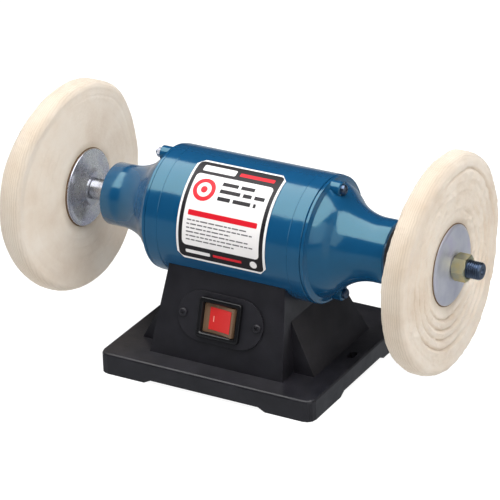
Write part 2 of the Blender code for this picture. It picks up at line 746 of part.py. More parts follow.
def stator_core(material, axis):
    inner, outer = ROTOR_RADIUS + AIR_GAP, BORE_RADIUS - CLEAR
    ring = [(-CORE_HALF, inner), (-CORE_HALF, outer), (CORE_HALF, outer), (CORE_HALF, inner)]
    body = solid("stator_core", turned(ring), material, axis)
    width = 2 * math.pi * ROTOR_RADIUS / SLOT_COUNT * SLOT_SHARE
    for number in range(SLOT_COUNT):
        low, high = ROTOR_RADIUS - 1, WINDING_OUTER - SLOT_MARGIN
        slot = block((-CORE_HALF - 1, -width / 2, low), (CORE_HALF + 1, width / 2, high))
        cut(body, turned_by(slot, 360 * (number + 0.5) / SLOT_COUNT, "X"))
    half = TIE_RADIUS + TIE_HOLE_CLEAR
    for up in (-1, 1):
        inner, outer = sorted((up * (TIE_CIRCLE - half), up * (BORE_RADIUS + THROUGH)))
        cut(body, block((-CORE_HALF - 1, -half, inner), (CORE_HALF + 1, half, outer)))
    return body


def stator_winding(name, side, material, axis):
    start = CORE_HALF + CLEAR
    end = start + WINDING_LENGTH
    profile = [
        (start, WINDING_INNER),
        (end - WINDING_BULGE, WINDING_INNER),
        (end, WINDING_INNER + WINDING_BULGE),
        (end, WINDING_OUTER - WINDING_BULGE),
        (end - WINDING_BULGE, WINDING_OUTER),
        (start, WINDING_OUTER),
    ]
    return solid(name, turned(mirrored(profile, side), SMALL_ROUND), material, axis)


# ---------------------------------------------------------------- bearings


def groove(radius_at, outward, middle):
    """The ball groove of a race, from one side to the other."""
    deep = BALL_RADIUS + GROOVE_CLEAR
    flat = abs(radius_at - PITCH_RADIUS)
    half = math.sqrt(deep**2 - flat**2)
    steps = 4
    points = []
    for i in range(steps + 1):
        x = -half + 2 * half * i / steps
        points.append((middle + x, PITCH_RADIUS + outward * math.sqrt(deep**2 - x**2)))
    return points


def bearing(side, prefix, axis, spindle, cage_axis, steel):
    low, high = BEARING_START, BEARING_END
    middle = (low + high) / 2
    outer_land = BEARING_OUTSIDE / 2 - RACE_WALL
    inner_land = BEARING_BORE / 2 + CLEAR + RACE_WALL
    outer = [(low, BEARING_OUTSIDE / 2), (low, outer_land)] + groove(outer_land, 1, middle)
    outer += [(high, outer_land), (high, BEARING_OUTSIDE / 2)]
    solid(f"{prefix}_bearing_outer_race", turned(mirrored(outer, side), SMALL_ROUND), steel, axis)
    bore = BEARING_BORE / 2 + CLEAR
    inner = [(low, bore), (low, inner_land)] + groove(inner_land, -1, middle)
    inner += [(high, inner_land), (high, bore)]
    solid(f"{prefix}_bearing_inner_race", turned(mirrored(inner, side), SMALL_ROUND), steel, spindle)
    ring = [(middle + x, PITCH_RADIUS + r) for x, r in
            ((-CAGE_WIDTH / 2, -CAGE_WALL / 2), (-CAGE_WIDTH / 2, CAGE_WALL / 2),
             (CAGE_WIDTH / 2, CAGE_WALL / 2), (CAGE_WIDTH / 2, -CAGE_WALL / 2))]
    cage = solid(f"{prefix}_bearing_balls", turned(mirrored(ring, side), SMALL_ROUND), steel, cage_axis)
    for number in range(BALL_COUNT):
        angle = 2 * math.pi * (number + 0.25) / BALL_COUNT
        ball = bmesh.new()
        bmesh.ops.create_icosphere(ball, subdivisions=1, radius=BALL_RADIUS)
        y, z = PITCH_RADIUS * math.cos(angle), PITCH_RADIUS * math.sin(angle)
        join(cage, moved(ball, (side * middle, y, z)))


def wave_washer(material, axis):
    """A thin spring ring between the left bearing and its bell, bent into a few waves."""
    outer, inner = BEARING_OUTSIDE / 2 - 0.5, BEARING_OUTSIDE / 2 - RACE_WALL + 0.3
    middle = BEARING_END + CLEAR + WAVE_WASHER_WALL / 2 + WAVE_HEIGHT
    shape = bmesh.new()
    count = SMALL_ROUND + 4
    rows = []
    for i in range(count):
        angle = 2 * math.pi * i / count
        wave = WAVE_HEIGHT * math.sin(WAVE_COUNT * angle)
        row = []
        for share, r in ((-0.5, inner), (-0.5, outer), (0.5, outer), (0.5, inner)):
            x = -(middle + wave + share * WAVE_WASHER_WALL)
            row.append(shape.verts.new((x, r * math.cos(angle), r * math.sin(angle))))
        rows.append(row)
    for i, row in enumerate(rows):
        following = rows[(i + 1) % count]
        for k in range(4):
            shape.faces.new((row[k], row[(k + 1) % 4], following[(k + 1) % 4], following[k]))
    bmesh.ops.recalc_face_normals(shape, faces=shape.faces)
    return solid("wave_washer", shape, material, axis)


# ---------------------------------------------------------------- spindle


def spindle_shaft(material, spindle):
    half = [
        (BEARING_START - CLEAR, ROTOR_SEAT_RADIUS),
        (BEARING_START - CLEAR, JOURNAL_RADIUS),
        (SHOULDER_AT, JOURNAL_RADIUS),
        (SHOULDER_AT, THREAD_RADIUS),
        (SPINDLE_HALF - CHAMFER, THREAD_RADIUS),
        (SPINDLE_HALF, THREAD_RADIUS - CHAMFER),
        (SPINDLE_HALF, CENTRE_HOLE_RADIUS),
        (SPINDLE_HALF - CENTRE_HOLE_DEPTH, 0),
    ]
    profile = mirrored(reversed(half), -1) + half
    return solid("spindle_shaft", turned(profile, SMALL_ROUND), material, spindle)


def rotor(core_metal, ring_metal, spindle):
    bore = ROTOR_SEAT_RADIUS + CLEAR
    core = [(-CORE_HALF, bore), (-CORE_HALF, ROTOR_RADIUS), (CORE_HALF, ROTOR_RADIUS), (CORE_HALF, bore)]
    solid("rotor_core", turned(core), core_metal, spindle)
    for side, prefix in ((-1, "left"), (1, "right")):
        start = CORE_HALF + CLEAR
        outer = ROTOR_RADIUS - END_RING_INSET
        ring = [(start, bore + 5), (start, outer), (start + END_RING_LENGTH, outer - 1.5),
                (start + END_RING_LENGTH, bore + 6.5)]
        solid(f"{prefix}_rotor_end_ring", turned(mirrored(ring, side), SMALL_ROUND), ring_metal, spindle)


def inner_flange(name, side, material, spindle):
    """A dished disc: its hub stands on the spindle's shoulder and its rim clamps the wheel."""
    start, end = INNER_FLANGE_START, INNER_FLANGE_START + INNER_FLANGE_DEPTH
    bore = THREAD_RADIUS + CLEAR
    profile = [
        (start, bore),
        (start, INNER_FLANGE_HUB),
        (end - 1.6 * FLANGE_SHEET, FLANGE_RADIUS - 9),
        (end - FLANGE_SHEET, FLANGE_RADIUS - 6),
        (end - FLANGE_SHEET, FLANGE_RADIUS - 0.6),
        (end - 0.6 * FLANGE_SHEET, FLANGE_RADIUS),
        (end, FLANGE_RADIUS),
        (end, FLANGE_RADIUS - 8),
        (start + FLANGE_SHEET + 0.6, INNER_FLANGE_HUB - 1),
        (start + FLANGE_SHEET + 0.6, bore),
    ]
    return solid(name, turned(mirrored(profile, side), MIDDLE_ROUND), material, spindle)


def outer_flange(name, side, material, spindle):
    start, end = OUTER_FLANGE_START, OUTER_FLANGE_START + OUTER_FLANGE_DEPTH
    bore = THREAD_RADIUS + CLEAR
    profile = [
        (end, bore),
        (end, OUTER_FLANGE_HUB),
        (start + FLANGE_SHEET, FLANGE_RADIUS - 5),
        (start + 0.7 * FLANGE_SHEET, FLANGE_RADIUS - 0.8),
        (start + 0.4 * FLANGE_SHEET, FLANGE_RADIUS),
        (start, FLANGE_RADIUS),
        (start, FLANGE_RADIUS - 8),
        (end - FLANGE_SHEET, OUTER_FLANGE_HUB - 1),
        (end - FLANGE_SHEET, bore),
    ]
    return solid(name, turned(mirrored(profile, side), MIDDLE_ROUND), material, spindle)


def buff_wheel(name, side, material, spindle):
    """Stitched cloth layers: pinched between the flanges, full at the rim."""
    middle = (WHEEL_START + WHEEL_END) / 2
    bore = THREAD_RADIUS + CLEAR
    hub, rim = WHEEL_HUB / 2, WHEEL_WIDTH / 2
    edge = 4.0
    half = [(hub, bore), (hub, FLANGE_RADIUS + 1), (rim - 0.6, FLANGE_RADIUS + 16), (rim, WHEEL_RADIUS - 18)]
    half += [(rim - 0.4, WHEEL_RADIUS - edge), (rim - 0.4 * edge, WHEEL_RADIUS - 0.3 * edge)]
    half += [(rim - edge, WHEEL_RADIUS)]
    profile = [(middle + x, r) for x, r in half] + [(middle - x, r) for x, r in reversed(half)]
    return solid(name, turned(mirrored(profile, side)), material, spindle)


def spindle_nut(name, side, material, spindle):
    """A hexagon nut with its outer corners turned off."""
    low, high = NUT_START, NUT_START + NUT_HEIGHT
    flats = hexagon(NUT_FLATS)
    inset = hexagon(NUT_FLATS * 0.93)
    layers = ((low, flats), (high - 1.2, flats), (high, inset))
    rings = [[(side * x, a, b) for a, b in outline] for x, outline in layers]
    body = solid(name, loft(rings), material, spindle, smooth=20)
    low, high = sorted((side * (low - THROUGH), side * (high + THROUGH)))
    return cut(body, drill(THREAD_RADIUS + CLEAR, low, high, "X", count=SMALL_ROUND))


# ---------------------------------------------------------------- switch


def stadium(half_width, half_height):
    straight = half_width - half_height
    right = arc((straight, 0), half_height, -90, 90, 8)
    return right + arc((-straight, 0), half_height, 90, 270, 8)


def switch_plate(material, face):
    low = -CLEAR - PLATE_SHEET
    sheet = prism(stadium(PLATE_HALF_WIDTH, PLATE_HALF_HEIGHT), low, -CLEAR, "Y")
    body = solid("switch_plate", sheet, material, face)
    cut(body, prism(switch_hole(), low - THROUGH, THROUGH, "Y"))
    for side in (-1, 1):
        cut(body, drill(PLATE_SCREW_RADIUS + CLEAR, low - THROUGH, THROUGH, "Y", (side * PLATE_SCREW_X, 0)))
    return body


def switch_front():
    """How far the bezel's face stands out of the switch box, along the face's -Y."""
    return 2 * CLEAR + PLATE_SHEET + BEZEL_PROUD


def switch_body(material, face):
    back = -(2 * CLEAR + PLATE_SHEET)
    front = -switch_front()
    rings = []
    for y, inset in ((back, 0), (front + 1, 0), (front, 1.0)):
        outline = rounded_rectangle(BEZEL_HALF_WIDTH - inset, BEZEL_HALF_HEIGHT - inset, 2.5 - inset, 2)
        rings.append([(x, y, z) for x, z in outline])
    body = solid("switch_body", loft(rings), material, face)
    tube = rounded_rectangle(POCKET_HALF_WIDTH + SWITCH_WALL, POCKET_HALF_HEIGHT + SWITCH_WALL, 1.2, 2)
    join(body, prism(tube, back - 1, SWITCH_DEPTH, "Y"))
    pocket = rounded_rectangle(POCKET_HALF_WIDTH, POCKET_HALF_HEIGHT, 1.0, 2)
    cut(body, prism(pocket, front - THROUGH, front + POCKET_DEPTH, "Y"))
    end = SWITCH_DEPTH + TERMINAL_LENGTH
    for x in (-TERMINAL_X, TERMINAL_X):
        for z in (-TERMINAL_Z, TERMINAL_Z):
            low = (x - TERMINAL_WIDTH / 2, SWITCH_DEPTH - 1, z - TERMINAL_SHEET / 2)
            join(body, block(low, (x + TERMINAL_WIDTH / 2, end, z + TERMINAL_SHEET / 2)))
    return body


def rocker_outline():
    """(across, out) points of the rocker when it is level: a shallow valley, and ends round its pivot."""
    radius = POCKET_HALF_WIDTH - ROCKER_PLAY
    high = math.degrees(math.asin(ROCKER_CREST / radius))
    right = arc((0, 0), radius, -12, high, 5)
    left = [(-x, y) for x, y in reversed(right)]
    return right + [(0, ROCKER_VALLEY)] + left + [(-5, -ROCKER_BELLY), (5, -ROCKER_BELLY)]


def switch_rocker(material, pivot):
    """The rocker at rest, pressed down on its left."""
    half = POCKET_HALF_HEIGHT - ROCKER_PLAY
    shape = prism([(x, -y) for x, y in rocker_outline()], -half, half)
    turned_by(shape, -ROCKER_SWING, "Z")
    return solid("switch_rocker", shape, material, pivot)


def plate_screws(material, face):
    for number, side in enumerate((-1, 1), 1):
        seat = -CLEAR - PLATE_SHEET - CLEAR
        shank = [(PLATE_SCREW_RADIUS, PLATE_SCREW_LENGTH), (PLATE_SCREW_RADIUS, seat)]
        head = [(PLATE_SCREW_HEAD, seat), (PLATE_SCREW_HEAD, seat - 1.3)]
        head.append((0.6 * PLATE_SCREW_HEAD, seat - 2.3))
        rings = [
            [(x + side * PLATE_SCREW_X, y, z) for x, z in ring_points(radius, TINY_ROUND)]
            for radius, y in shank + head
        ]
        solid(f"plate_screw_{number}", loft(rings), material, face)


# ---------------------------------------------------------------- electrical parts in the base


def roof_screw_places():
    """Screws that go up into the hollow's roof: the clamp's, the terminal block's and the earth screw."""
    return [(0, CAPACITOR_Y + CLAMP_TAB - 6), (0, BLOCK_Y), (EARTH_SCREW_X, EARTH_SCREW_Y)]


def capacitor(material):
    middle = HOLLOW_TOP - CAPACITOR_DROP
    half = CAPACITOR_LENGTH / 2
    profile = [(-half, 0), (-half, CAPACITOR_RADIUS - 1), (-half + 1, CAPACITOR_RADIUS)]
    profile += [(half - 2, CAPACITOR_RADIUS), (half - 2, CAPACITOR_RADIUS - 2)]
    profile += [(half, CAPACITOR_RADIUS - 2), (half, 0)]
    return solid("capacitor", moved(turned(profile, SMALL_ROUND), (0, CAPACITOR_Y, middle)), material)


def capacitor_clamp(material):
    """A band round the capacitor, hung from a tab under the hollow's roof."""
    middle = HOLLOW_TOP - CAPACITOR_DROP
    half = CLAMP_WIDTH / 2
    inner = CAPACITOR_RADIUS + CLEAR
    outer = inner + CLAMP_SHEET
    band = turned([(-half, inner), (-half, outer), (half, outer), (half, inner)], SMALL_ROUND)
    body = solid("capacitor_clamp", moved(band, (0, CAPACITOR_Y, middle)), material)
    roof = HOLLOW_TOP - CLEAR
    join(body, block((-half, CAPACITOR_Y - 1, middle + inner + 0.5), (half, CAPACITOR_Y + 1, roof)))
    join(body, block((-half, CAPACITOR_Y - 1, roof - CLAMP_SHEET), (half, CAPACITOR_Y + CLAMP_TAB, roof)))
    return cut(body, drill(SMALL_SCREW_RADIUS + CLEAR, roof - THROUGH, roof + 1, at=roof_screw_places()[0]))


def terminal_block(material):
    top = HOLLOW_TOP - CLEAR
    low = (-BLOCK_LENGTH / 2, BLOCK_Y - BLOCK_WIDTH / 2, top - BLOCK_HEIGHT)
    body = solid("terminal_block", block(low, (BLOCK_LENGTH / 2, BLOCK_Y + BLOCK_WIDTH / 2, top)), material)
    pitch = BLOCK_LENGTH / BLOCK_WAYS
    for number in range(BLOCK_WAYS):
        x = low[0] + pitch * (number + 0.5)
        cut(body, drill(1.8, low[2] - 1, low[2] + 4, at=(x, BLOCK_Y), count=8))
        cut(body, drill(1.4, low[1] - 1, low[1] + 4, "Y", (x, low[2] + 5.5), 8))
    return cut(body, drill(SMALL_SCREW_RADIUS + CLEAR, low[2] - 1, top + 1, at=(0, BLOCK_Y)))


def roof_screws(steel, brass):
    clamp, terminals, earth = roof_screw_places()
    roof = HOLLOW_TOP - CLEAR
    clamp_at = (*clamp, roof - CLAMP_SHEET - CLEAR)
    screw("clamp_screw", steel, SMALL_SCREW_RADIUS, CLAMP_SHEET + 5, 3.6, 2.2, clamp_at)
    block_at = (*terminals, roof - BLOCK_HEIGHT - CLEAR)
    screw("terminal_block_screw", steel, SMALL_SCREW_RADIUS, BLOCK_HEIGHT + 4.5, 3.4, 2.0, block_at)
    screw("earth_screw", brass, SMALL_SCREW_RADIUS, 4.5, 3.6, 2.4, (*earth, roof))


def cable_gland(plastic, face):
    """The cord's inlet: a hexagon outside the back wall, a sleeve through it and a locknut inside."""
    start = CLEAR
    hexagon_end = start + GLAND_HEX_HEIGHT
    body = solid("cable_gland", prism(hexagon(GLAND_FLATS), start, hexagon_end, "Y"), plastic, face)
    nut_start = -(BASE_WALL + 1)
    sleeve_end = nut_start - 2 * GLAND_NUT_HEIGHT
    join(body, peg(GLAND_RADIUS, sleeve_end, start + 1, "Y", count=MIDDLE_ROUND))
    cap_end = hexagon_end + GLAND_CAP_HEIGHT
    rings = [
        [(x, y, z) for x, z in ring_points(radius, MIDDLE_ROUND)]
        for radius, y in (
            (GLAND_CAP_RADIUS, hexagon_end - 1),
            (GLAND_CAP_RADIUS, hexagon_end + 0.6 * GLAND_CAP_HEIGHT),
            (0.74 * GLAND_CAP_RADIUS, cap_end),
        )
    ]
    join(body, loft(rings))
    cut(body, drill(GLAND_BORE_RADIUS, sleeve_end - THROUGH, cap_end + THROUGH, "Y"))
    nut_shape = prism(hexagon(GLAND_FLATS), nut_start - GLAND_NUT_HEIGHT, nut_start, "Y")
    nut = solid("gland_locknut", nut_shape, plastic, face)
    return cut(nut, drill(GLAND_RADIUS + CLEAR, nut_start - THROUGH, nut_start + 1, "Y", count=MIDDLE_ROUND))


# ---------------------------------------------------------------- label


def front_label(material, axis):
    """A thin printed sheet bent round the barrel, with rounded corners."""
    inner = BARREL_RADIUS + CLEAR
    outer = inner + LABEL_SHEET
    low = math.radians(LABEL_LOW) * outer
    high = math.radians(LABEL_HIGH) * outer
    middle, half = (low + high) / 2, (high - low) / 2
    steps = 16
    shape = bmesh.new()
    rows = []
    for i in range(steps + 1):
        along = -half + 2 * half * i / steps
        over = max(0.0, abs(along) - (half - LABEL_CORNER))
        reach = LABEL_HALF_WIDTH - LABEL_CORNER + math.sqrt(max(LABEL_CORNER**2 - over**2, 0.04))
        angle = (middle + along) / outer
        row = []
        for x, r in ((-reach, inner), (reach, inner), (reach, outer), (-reach, outer)):
            row.append(shape.verts.new((x, -r * math.cos(angle), r * math.sin(angle))))
        rows.append(row)
    for row, following in zip(rows, rows[1:]):
        for k in range(4):
            shape.faces.new((row[k], row[(k + 1) % 4], following[(k + 1) % 4], following[k]))
    shape.faces.new(rows[0])
    shape.faces.new(rows[-1])
    bmesh.ops.recalc_face_normals(shape, faces=shape.faces)
    return solid("front_label", shape, material, axis)


# ---------------------------------------------------------------- assembly


def clear_scene():
    for obj in list(bpy.data.objects):
        bpy.data.objects.remove(obj)


def build():
    clear_scene()
    blue = finish("blue_enamel", (43, 89, 130), 0.35)
    black = finish("black_enamel", (42, 40, 45), 0.5)
    zinc = finish("zinc_plate", (150, 152, 158), 0.35, 1)
    yellow_zinc = finish("yellow_zinc", (170, 166, 130), 0.35, 1)
    steel = finish("bright_steel", (176, 178, 182), 0.3, 1)
    laminations = finish("laminations", (96, 96, 100), 0.5, 1)
    copper = finish("copper_wire", (184, 110, 62), 0.4, 1)
    die_cast = finish("die_cast", (178, 180, 184), 0.5, 1)
    brass = finish("brass", (196, 164, 92), 0.35, 1)
    cloth = finish("cotton_cloth", (222, 206, 188), 0.95)
    rubber = finish("black_rubber", (26, 26, 28), 0.75)
    plastic = finish("black_plastic", (24, 24, 26), 0.35)
    red = finish("red_plastic", (190, 40, 40), 0.3)
    grey = finish("grey_plastic", (120, 122, 126), 0.5)
    paper = finish("label_sheet", (222, 223, 225), 0.4)

    axis = axis_empty("motor_axis", (0, 0, AXIS_HEIGHT))
    spindle = axis_empty("spindle_axis", (0, 0, AXIS_HEIGHT))
    place, lean = switch_frame()
    face = axis_empty("switch_face", place, (lean, 0, 0))
    out = Matrix.Rotation(lean, 3, "X") @ Vector((0, -switch_front() + ROCKER_CREST + ROCKER_SINK, 0))
    pivot = axis_empty("rocker_pivot", Vector(place) + out, (lean, 0, 0))
    gland_place, gland_lean = gland_frame()
    gland_face = axis_empty("gland_face", gland_place, (gland_lean, 0, 0))
    bpy.context.view_layer.update()

    base_casting(black)
    bottom_cover(black)
    for number, (x, y) in enumerate(cover_screw_places(), 1):
        length = PLATE_UNDERSIDE - 2 - COVER_BOTTOM
        at = (x, y, COVER_BOTTOM - CLEAR)
        screw(f"cover_screw_{number}", zinc, COVER_SCREW_RADIUS, length, COVER_SCREW_HEAD, 2.2, at)

    motor_barrel(blue, axis)
    end_bell("left_end_bell", -1, blue, axis)
    end_bell("right_end_bell", 1, blue, axis)
    for up, word in ((1, "upper"), (-1, "lower")):
        tie_bolt(f"{word}_tie_bolt", up, zinc, axis)
        tie_nut(f"{word}_tie_nut", up, zinc, axis)
    saddle_bolts(zinc)
    front_label(paper, axis)

    stator_core(laminations, axis)
    stator_winding("left_stator_winding", -1, copper, axis)
    stator_winding("right_stator_winding", 1, copper, axis)
    wave_washer(steel, axis)

    spindle_shaft(steel, spindle)
    rotor(laminations, die_cast, spindle)
    for side, prefix in ((-1, "left"), (1, "right")):
        cage_axis = axis_empty(f"{prefix}_cage_axis", (0, 0, AXIS_HEIGHT))
        bpy.context.view_layer.update()
        bearing(side, prefix, axis, spindle, cage_axis, steel)
        dust_seal(f"{prefix}_dust_seal", side, rubber, axis)
        inner_flange(f"{prefix}_inner_flange", side, zinc, spindle)
        buff_wheel(f"{prefix}_buff_wheel", side, cloth, spindle)
        outer_flange(f"{prefix}_outer_flange", side, zinc, spindle)
        spindle_nut(f"{prefix}_spindle_nut", side, yellow_zinc, spindle)

    switch_plate(black, face)
    switch_body(plastic, face)
    switch_rocker(red, pivot)
    plate_screws(black, face)
    capacitor(grey)
    capacitor_clamp(zinc)
    terminal_block(grey)
    roof_screws(zinc, brass)
    cable_gland(plastic, gland_face)


build()
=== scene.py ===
"""The looks of the bench buffer: enamelled motor and base, plated fittings, stitched cloth wheels.

Everything is placed from the CAD frame. Sizes below are in millimetres, and MM turns them into metres.
X runs along the spindle, -Y is the switch side and +Z is up.
"""

import json
import math
import random

import bmesh
import bpy
from mathutils import Matrix, Vector, noise

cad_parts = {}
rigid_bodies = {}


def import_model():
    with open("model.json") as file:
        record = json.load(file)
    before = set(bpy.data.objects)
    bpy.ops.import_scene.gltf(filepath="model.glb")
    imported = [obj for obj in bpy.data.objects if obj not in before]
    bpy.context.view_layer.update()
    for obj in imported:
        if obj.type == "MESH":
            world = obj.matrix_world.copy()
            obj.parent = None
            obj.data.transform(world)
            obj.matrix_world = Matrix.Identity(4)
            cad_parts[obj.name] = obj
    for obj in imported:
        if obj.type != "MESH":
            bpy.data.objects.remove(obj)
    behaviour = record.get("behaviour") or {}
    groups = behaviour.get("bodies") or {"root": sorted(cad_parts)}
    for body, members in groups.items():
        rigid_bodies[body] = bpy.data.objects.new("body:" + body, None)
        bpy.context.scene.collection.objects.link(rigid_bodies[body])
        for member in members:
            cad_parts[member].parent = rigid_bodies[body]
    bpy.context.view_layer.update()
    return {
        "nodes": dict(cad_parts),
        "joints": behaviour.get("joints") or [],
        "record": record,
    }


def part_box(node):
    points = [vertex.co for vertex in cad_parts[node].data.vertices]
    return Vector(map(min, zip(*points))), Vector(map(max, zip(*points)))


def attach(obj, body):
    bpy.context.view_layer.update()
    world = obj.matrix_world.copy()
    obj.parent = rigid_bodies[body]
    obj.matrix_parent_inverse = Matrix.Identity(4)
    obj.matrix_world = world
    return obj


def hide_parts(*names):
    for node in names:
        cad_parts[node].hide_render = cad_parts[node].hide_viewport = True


MM = 0.001
ROUND = 144  # steps round a turned casting
SIDES = (("left", -1), ("right", 1))

for old in list(bpy.data.objects):
    bpy.data.objects.remove(old)
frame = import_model()


# ---------------------------------------------------------------- the frame's own measures


def box(node):
    """The node's lowest and highest corners in millimetres."""
    low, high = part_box(node)
    return low / MM, high / MM


def middle(node):
    low, high = box(node)
    return (low + high) / 2


def radius_of(node):
    low, high = box(node)
    return (high.y - low.y) / 2


AXIS_Z = middle("spindle_shaft").z
BARREL_HALF = box("motor_barrel")[1].x
BARREL_RADIUS = radius_of("motor_barrel")
NECK_END = box("right_end_bell")[1].x
LIP_RADIUS = radius_of("right_end_bell")
SPINDLE_HALF = box("spindle_shaft")[1].x
WHEEL_LOW, WHEEL_HIGH = box("right_buff_wheel")
WHEEL_MIDDLE = (WHEEL_LOW.x + WHEEL_HIGH.x) / 2
WHEEL_RADIUS = radius_of("right_buff_wheel")
FLANGE_RADIUS = box("right_outer_flange")[1].z - AXIS_Z
ROCKER_JOINT = next(joint for joint in frame["joints"] if joint["name"] == "rocker_tilt")
SWITCH_UP = Vector(ROCKER_JOINT["axis"]).normalized()
SWITCH_PIVOT = Vector(ROCKER_JOINT["pos_m"]) / MM


# ---------------------------------------------------------------- materials


class Shader:
    """A material with a Principled BSDF, and short ways to add the nodes that feed it."""

    def __init__(self, name, color, roughness, metallic=0.0, **extra):
        self.material = bpy.data.materials.new(name)
        self.material.use_nodes = True
        self.tree = self.material.node_tree
        self.shader = self.tree.nodes["Principled BSDF"]
        self.color = color
        self.set("Base Color", (*color, 1))
        self.set("Roughness", roughness)
        self.set("Metallic", metallic)
        for socket, value in extra.items():
            self.set(socket.replace("_", " "), value)
        self.place = self.tree.nodes.new("ShaderNodeTexCoord").outputs["Object"]
        self.height = None

    def set(self, socket, value):
        self.shader.inputs[socket].default_value = value

    def link(self, source, target):
        self.tree.links.new(source, target)

    def stretched(self, scale):
        node = self.tree.nodes.new("ShaderNodeMapping")
        node.inputs["Scale"].default_value = scale
        self.link(self.place, node.inputs["Vector"])
        return node.outputs["Vector"]

    def noise(self, scale, detail=3.0, roughness=0.5, stretch=None):
        node = self.tree.nodes.new("ShaderNodeTexNoise")
        node.inputs["Scale"].default_value = scale
        node.inputs["Detail"].default_value = detail
        node.inputs["Roughness"].default_value = roughness
        self.link(self.stretched(stretch) if stretch else self.place, node.inputs["Vector"])
        return node.outputs["Fac"]

    def wave(self, scale, direction, distortion=0.0, kind="BANDS"):
        node = self.tree.nodes.new("ShaderNodeTexWave")
        node.wave_type = kind
        if kind == "BANDS":
            node.bands_direction = direction
        else:
            node.rings_direction = direction
        node.inputs["Scale"].default_value = scale
        node.inputs["Distortion"].default_value = distortion
        self.link(self.place, node.inputs["Vector"])
        return node.outputs["Fac"]

    def ramp(self, factor, *stops):
        node = self.tree.nodes.new("ShaderNodeValToRGB")
        elements = node.color_ramp.elements
        while len(elements) < len(stops):
            elements.new(0.5)
        for element, (at, color) in zip(elements, stops):
            element.position = at
            element.color = (*color, 1)
        self.link(factor, node.inputs["Fac"])
        return node.outputs["Color"]

    def spread(self, factor, low, high):
        """The factor's middle range mapped to low..high."""
        node = self.tree.nodes.new("ShaderNodeMapRange")
        node.inputs["From Min"].default_value = 0.3
        node.inputs["From Max"].default_value = 0.7
        node.inputs["To Min"].default_value = low
        node.inputs["To Max"].default_value = high
        self.link(factor, node.inputs["Value"])
        return node.outputs["Result"]

    def colored(self, factor, *stops):
        """Base colour from a ramp over the factor."""
        self.link(self.ramp(factor, *stops), self.shader.inputs["Base Color"])

    def tinted(self, factor, amount):
        """Base colour varied from darker to lighter by that share."""
        darker = [c * (1 - amount) for c in self.color]
        lighter = [min(1.0, c * (1 + amount)) for c in self.color]
        self.colored(factor, (0.3, darker), (0.7, lighter))

    def varied(self, socket, factor, low, high):
        self.link(self.spread(factor, low, high), self.shader.inputs[socket])

    def from_spindle(self):
        """The distance from the spindle's axis, in metres."""
        apart = self.tree.nodes.new("ShaderNodeVectorMath")
        apart.operation = "MULTIPLY_ADD"
        apart.inputs[1].default_value = (0, 1, 1)
        apart.inputs[2].default_value = (0, 0, -AXIS_Z * MM)
        self.link(self.place, apart.inputs[0])
        length = self.tree.nodes.new("ShaderNodeVectorMath")
        length.operation = "LENGTH"
        self.link(apart.outputs["Vector"], length.inputs[0])
        return length.outputs["Value"]

    def rising(self, value, start, end, interpolation="LINEAR"):
        """0 where the value is at the start, in millimetres, and 1 where it is at the end."""
        node = self.tree.nodes.new("ShaderNodeMapRange")
        node.interpolation_type = interpolation
        node.inputs["From Min"].default_value = start * MM
        node.inputs["From Max"].default_value = end * MM
        self.link(value, node.inputs["Value"])
        return node.outputs["Result"]

    def darkened(self, share, color):
        """Base colour multiplied by the colour where the share is 1."""
        mix = self.tree.nodes.new("ShaderNodeMix")
        mix.data_type = "RGBA"
        mix.blend_type = "MULTIPLY"
        before, after, result = mix.inputs[6], mix.inputs[7], mix.outputs[2]
        self.link(share, mix.inputs["Factor"])
        self.link(self.shader.inputs["Base Color"].links[0].from_socket, before)
        self.link(color, after)
        self.link(result, self.shader.inputs["Base Color"])

    def bump(self, factor, depth):
        """Adds relief of that depth in metres. Calls stack."""
        node = self.tree.nodes.new("ShaderNodeBump")
        node.inputs["Distance"].default_value = depth
        node.inputs["Strength"].default_value = 1.0
        self.link(factor, node.inputs["Height"])
        if self.height:
            self.link(self.height, node.inputs["Normal"])
        self.height = node.outputs["Normal"]
        self.link(self.height, self.shader.inputs["Normal"])


def linear(*rgb):
    """sRGB channels from 0 to 255 as linear values."""
    shares = (channel / 255 for channel in rgb)
    return tuple(s / 12.92 if s <= 0.04045 else ((s + 0.055) / 1.055) ** 2.4 for s in shares)


def enamel_blue():
    m = Shader("blue_enamel", (0.0045, 0.062, 0.155), 0.17, IOR=1.45)
    m.set("Coat Weight", 0.45)
    m.set("Coat Roughness", 0.06)
    m.set("Coat IOR", 1.5)
    m.set("Specular IOR Level", 0.82)
    m.set("Specular Tint", (0.45, 1.0, 0.92, 1))
    m.tinted(m.noise(28, 2), 0.08)
    m.bump(m.noise(75, 2), 0.0003)
    m.bump(m.noise(700, 2), 0.000008)
    return m.material


def enamel_black():
    m = Shader("black_enamel", linear(28, 27, 32), 0.36, IOR=1.5)
    m.tinted(m.noise(60, 5, 0.6), 0.3)
    m.varied("Roughness", m.noise(45, 4), 0.28, 0.46)
    m.bump(m.noise(140, 3), 0.00016)
    m.bump(m.noise(900, 4, 0.6), 0.00005)
    return m.material


def black_sheet():
    m = Shader("black_painted_sheet", linear(32, 31, 36), 0.38)
    m.tinted(m.noise(90, 4), 0.16)
    m.bump(m.noise(1100, 3), 0.00002)
    return m.material


def zinc():
    m = Shader("zinc_plate", (0.5, 0.51, 0.56), 0.26, 0.7)
    tones = ((0.32, (0.56, 0.57, 0.67)), (0.5, (0.66, 0.67, 0.74)), (0.68, (0.62, 0.60, 0.74)))
    m.colored(m.noise(38, 3), *tones)
    m.varied("Roughness", m.noise(160, 4), 0.38, 0.5)
    m.bump(m.wave(420, "X", 1.5, "RINGS"), 0.000006)
    return m.material


def bright_zinc():
    m = Shader("bright_zinc", (0.62, 0.63, 0.68), 0.12, 0.75)
    m.colored(m.noise(60, 3), (0.35, (0.56, 0.56, 0.66)), (0.65, (0.68, 0.69, 0.70)))
    m.varied("Roughness", m.noise(140, 3), 0.2, 0.32)
    m.bump(m.noise(60, 2), 0.00006)
    return m.material


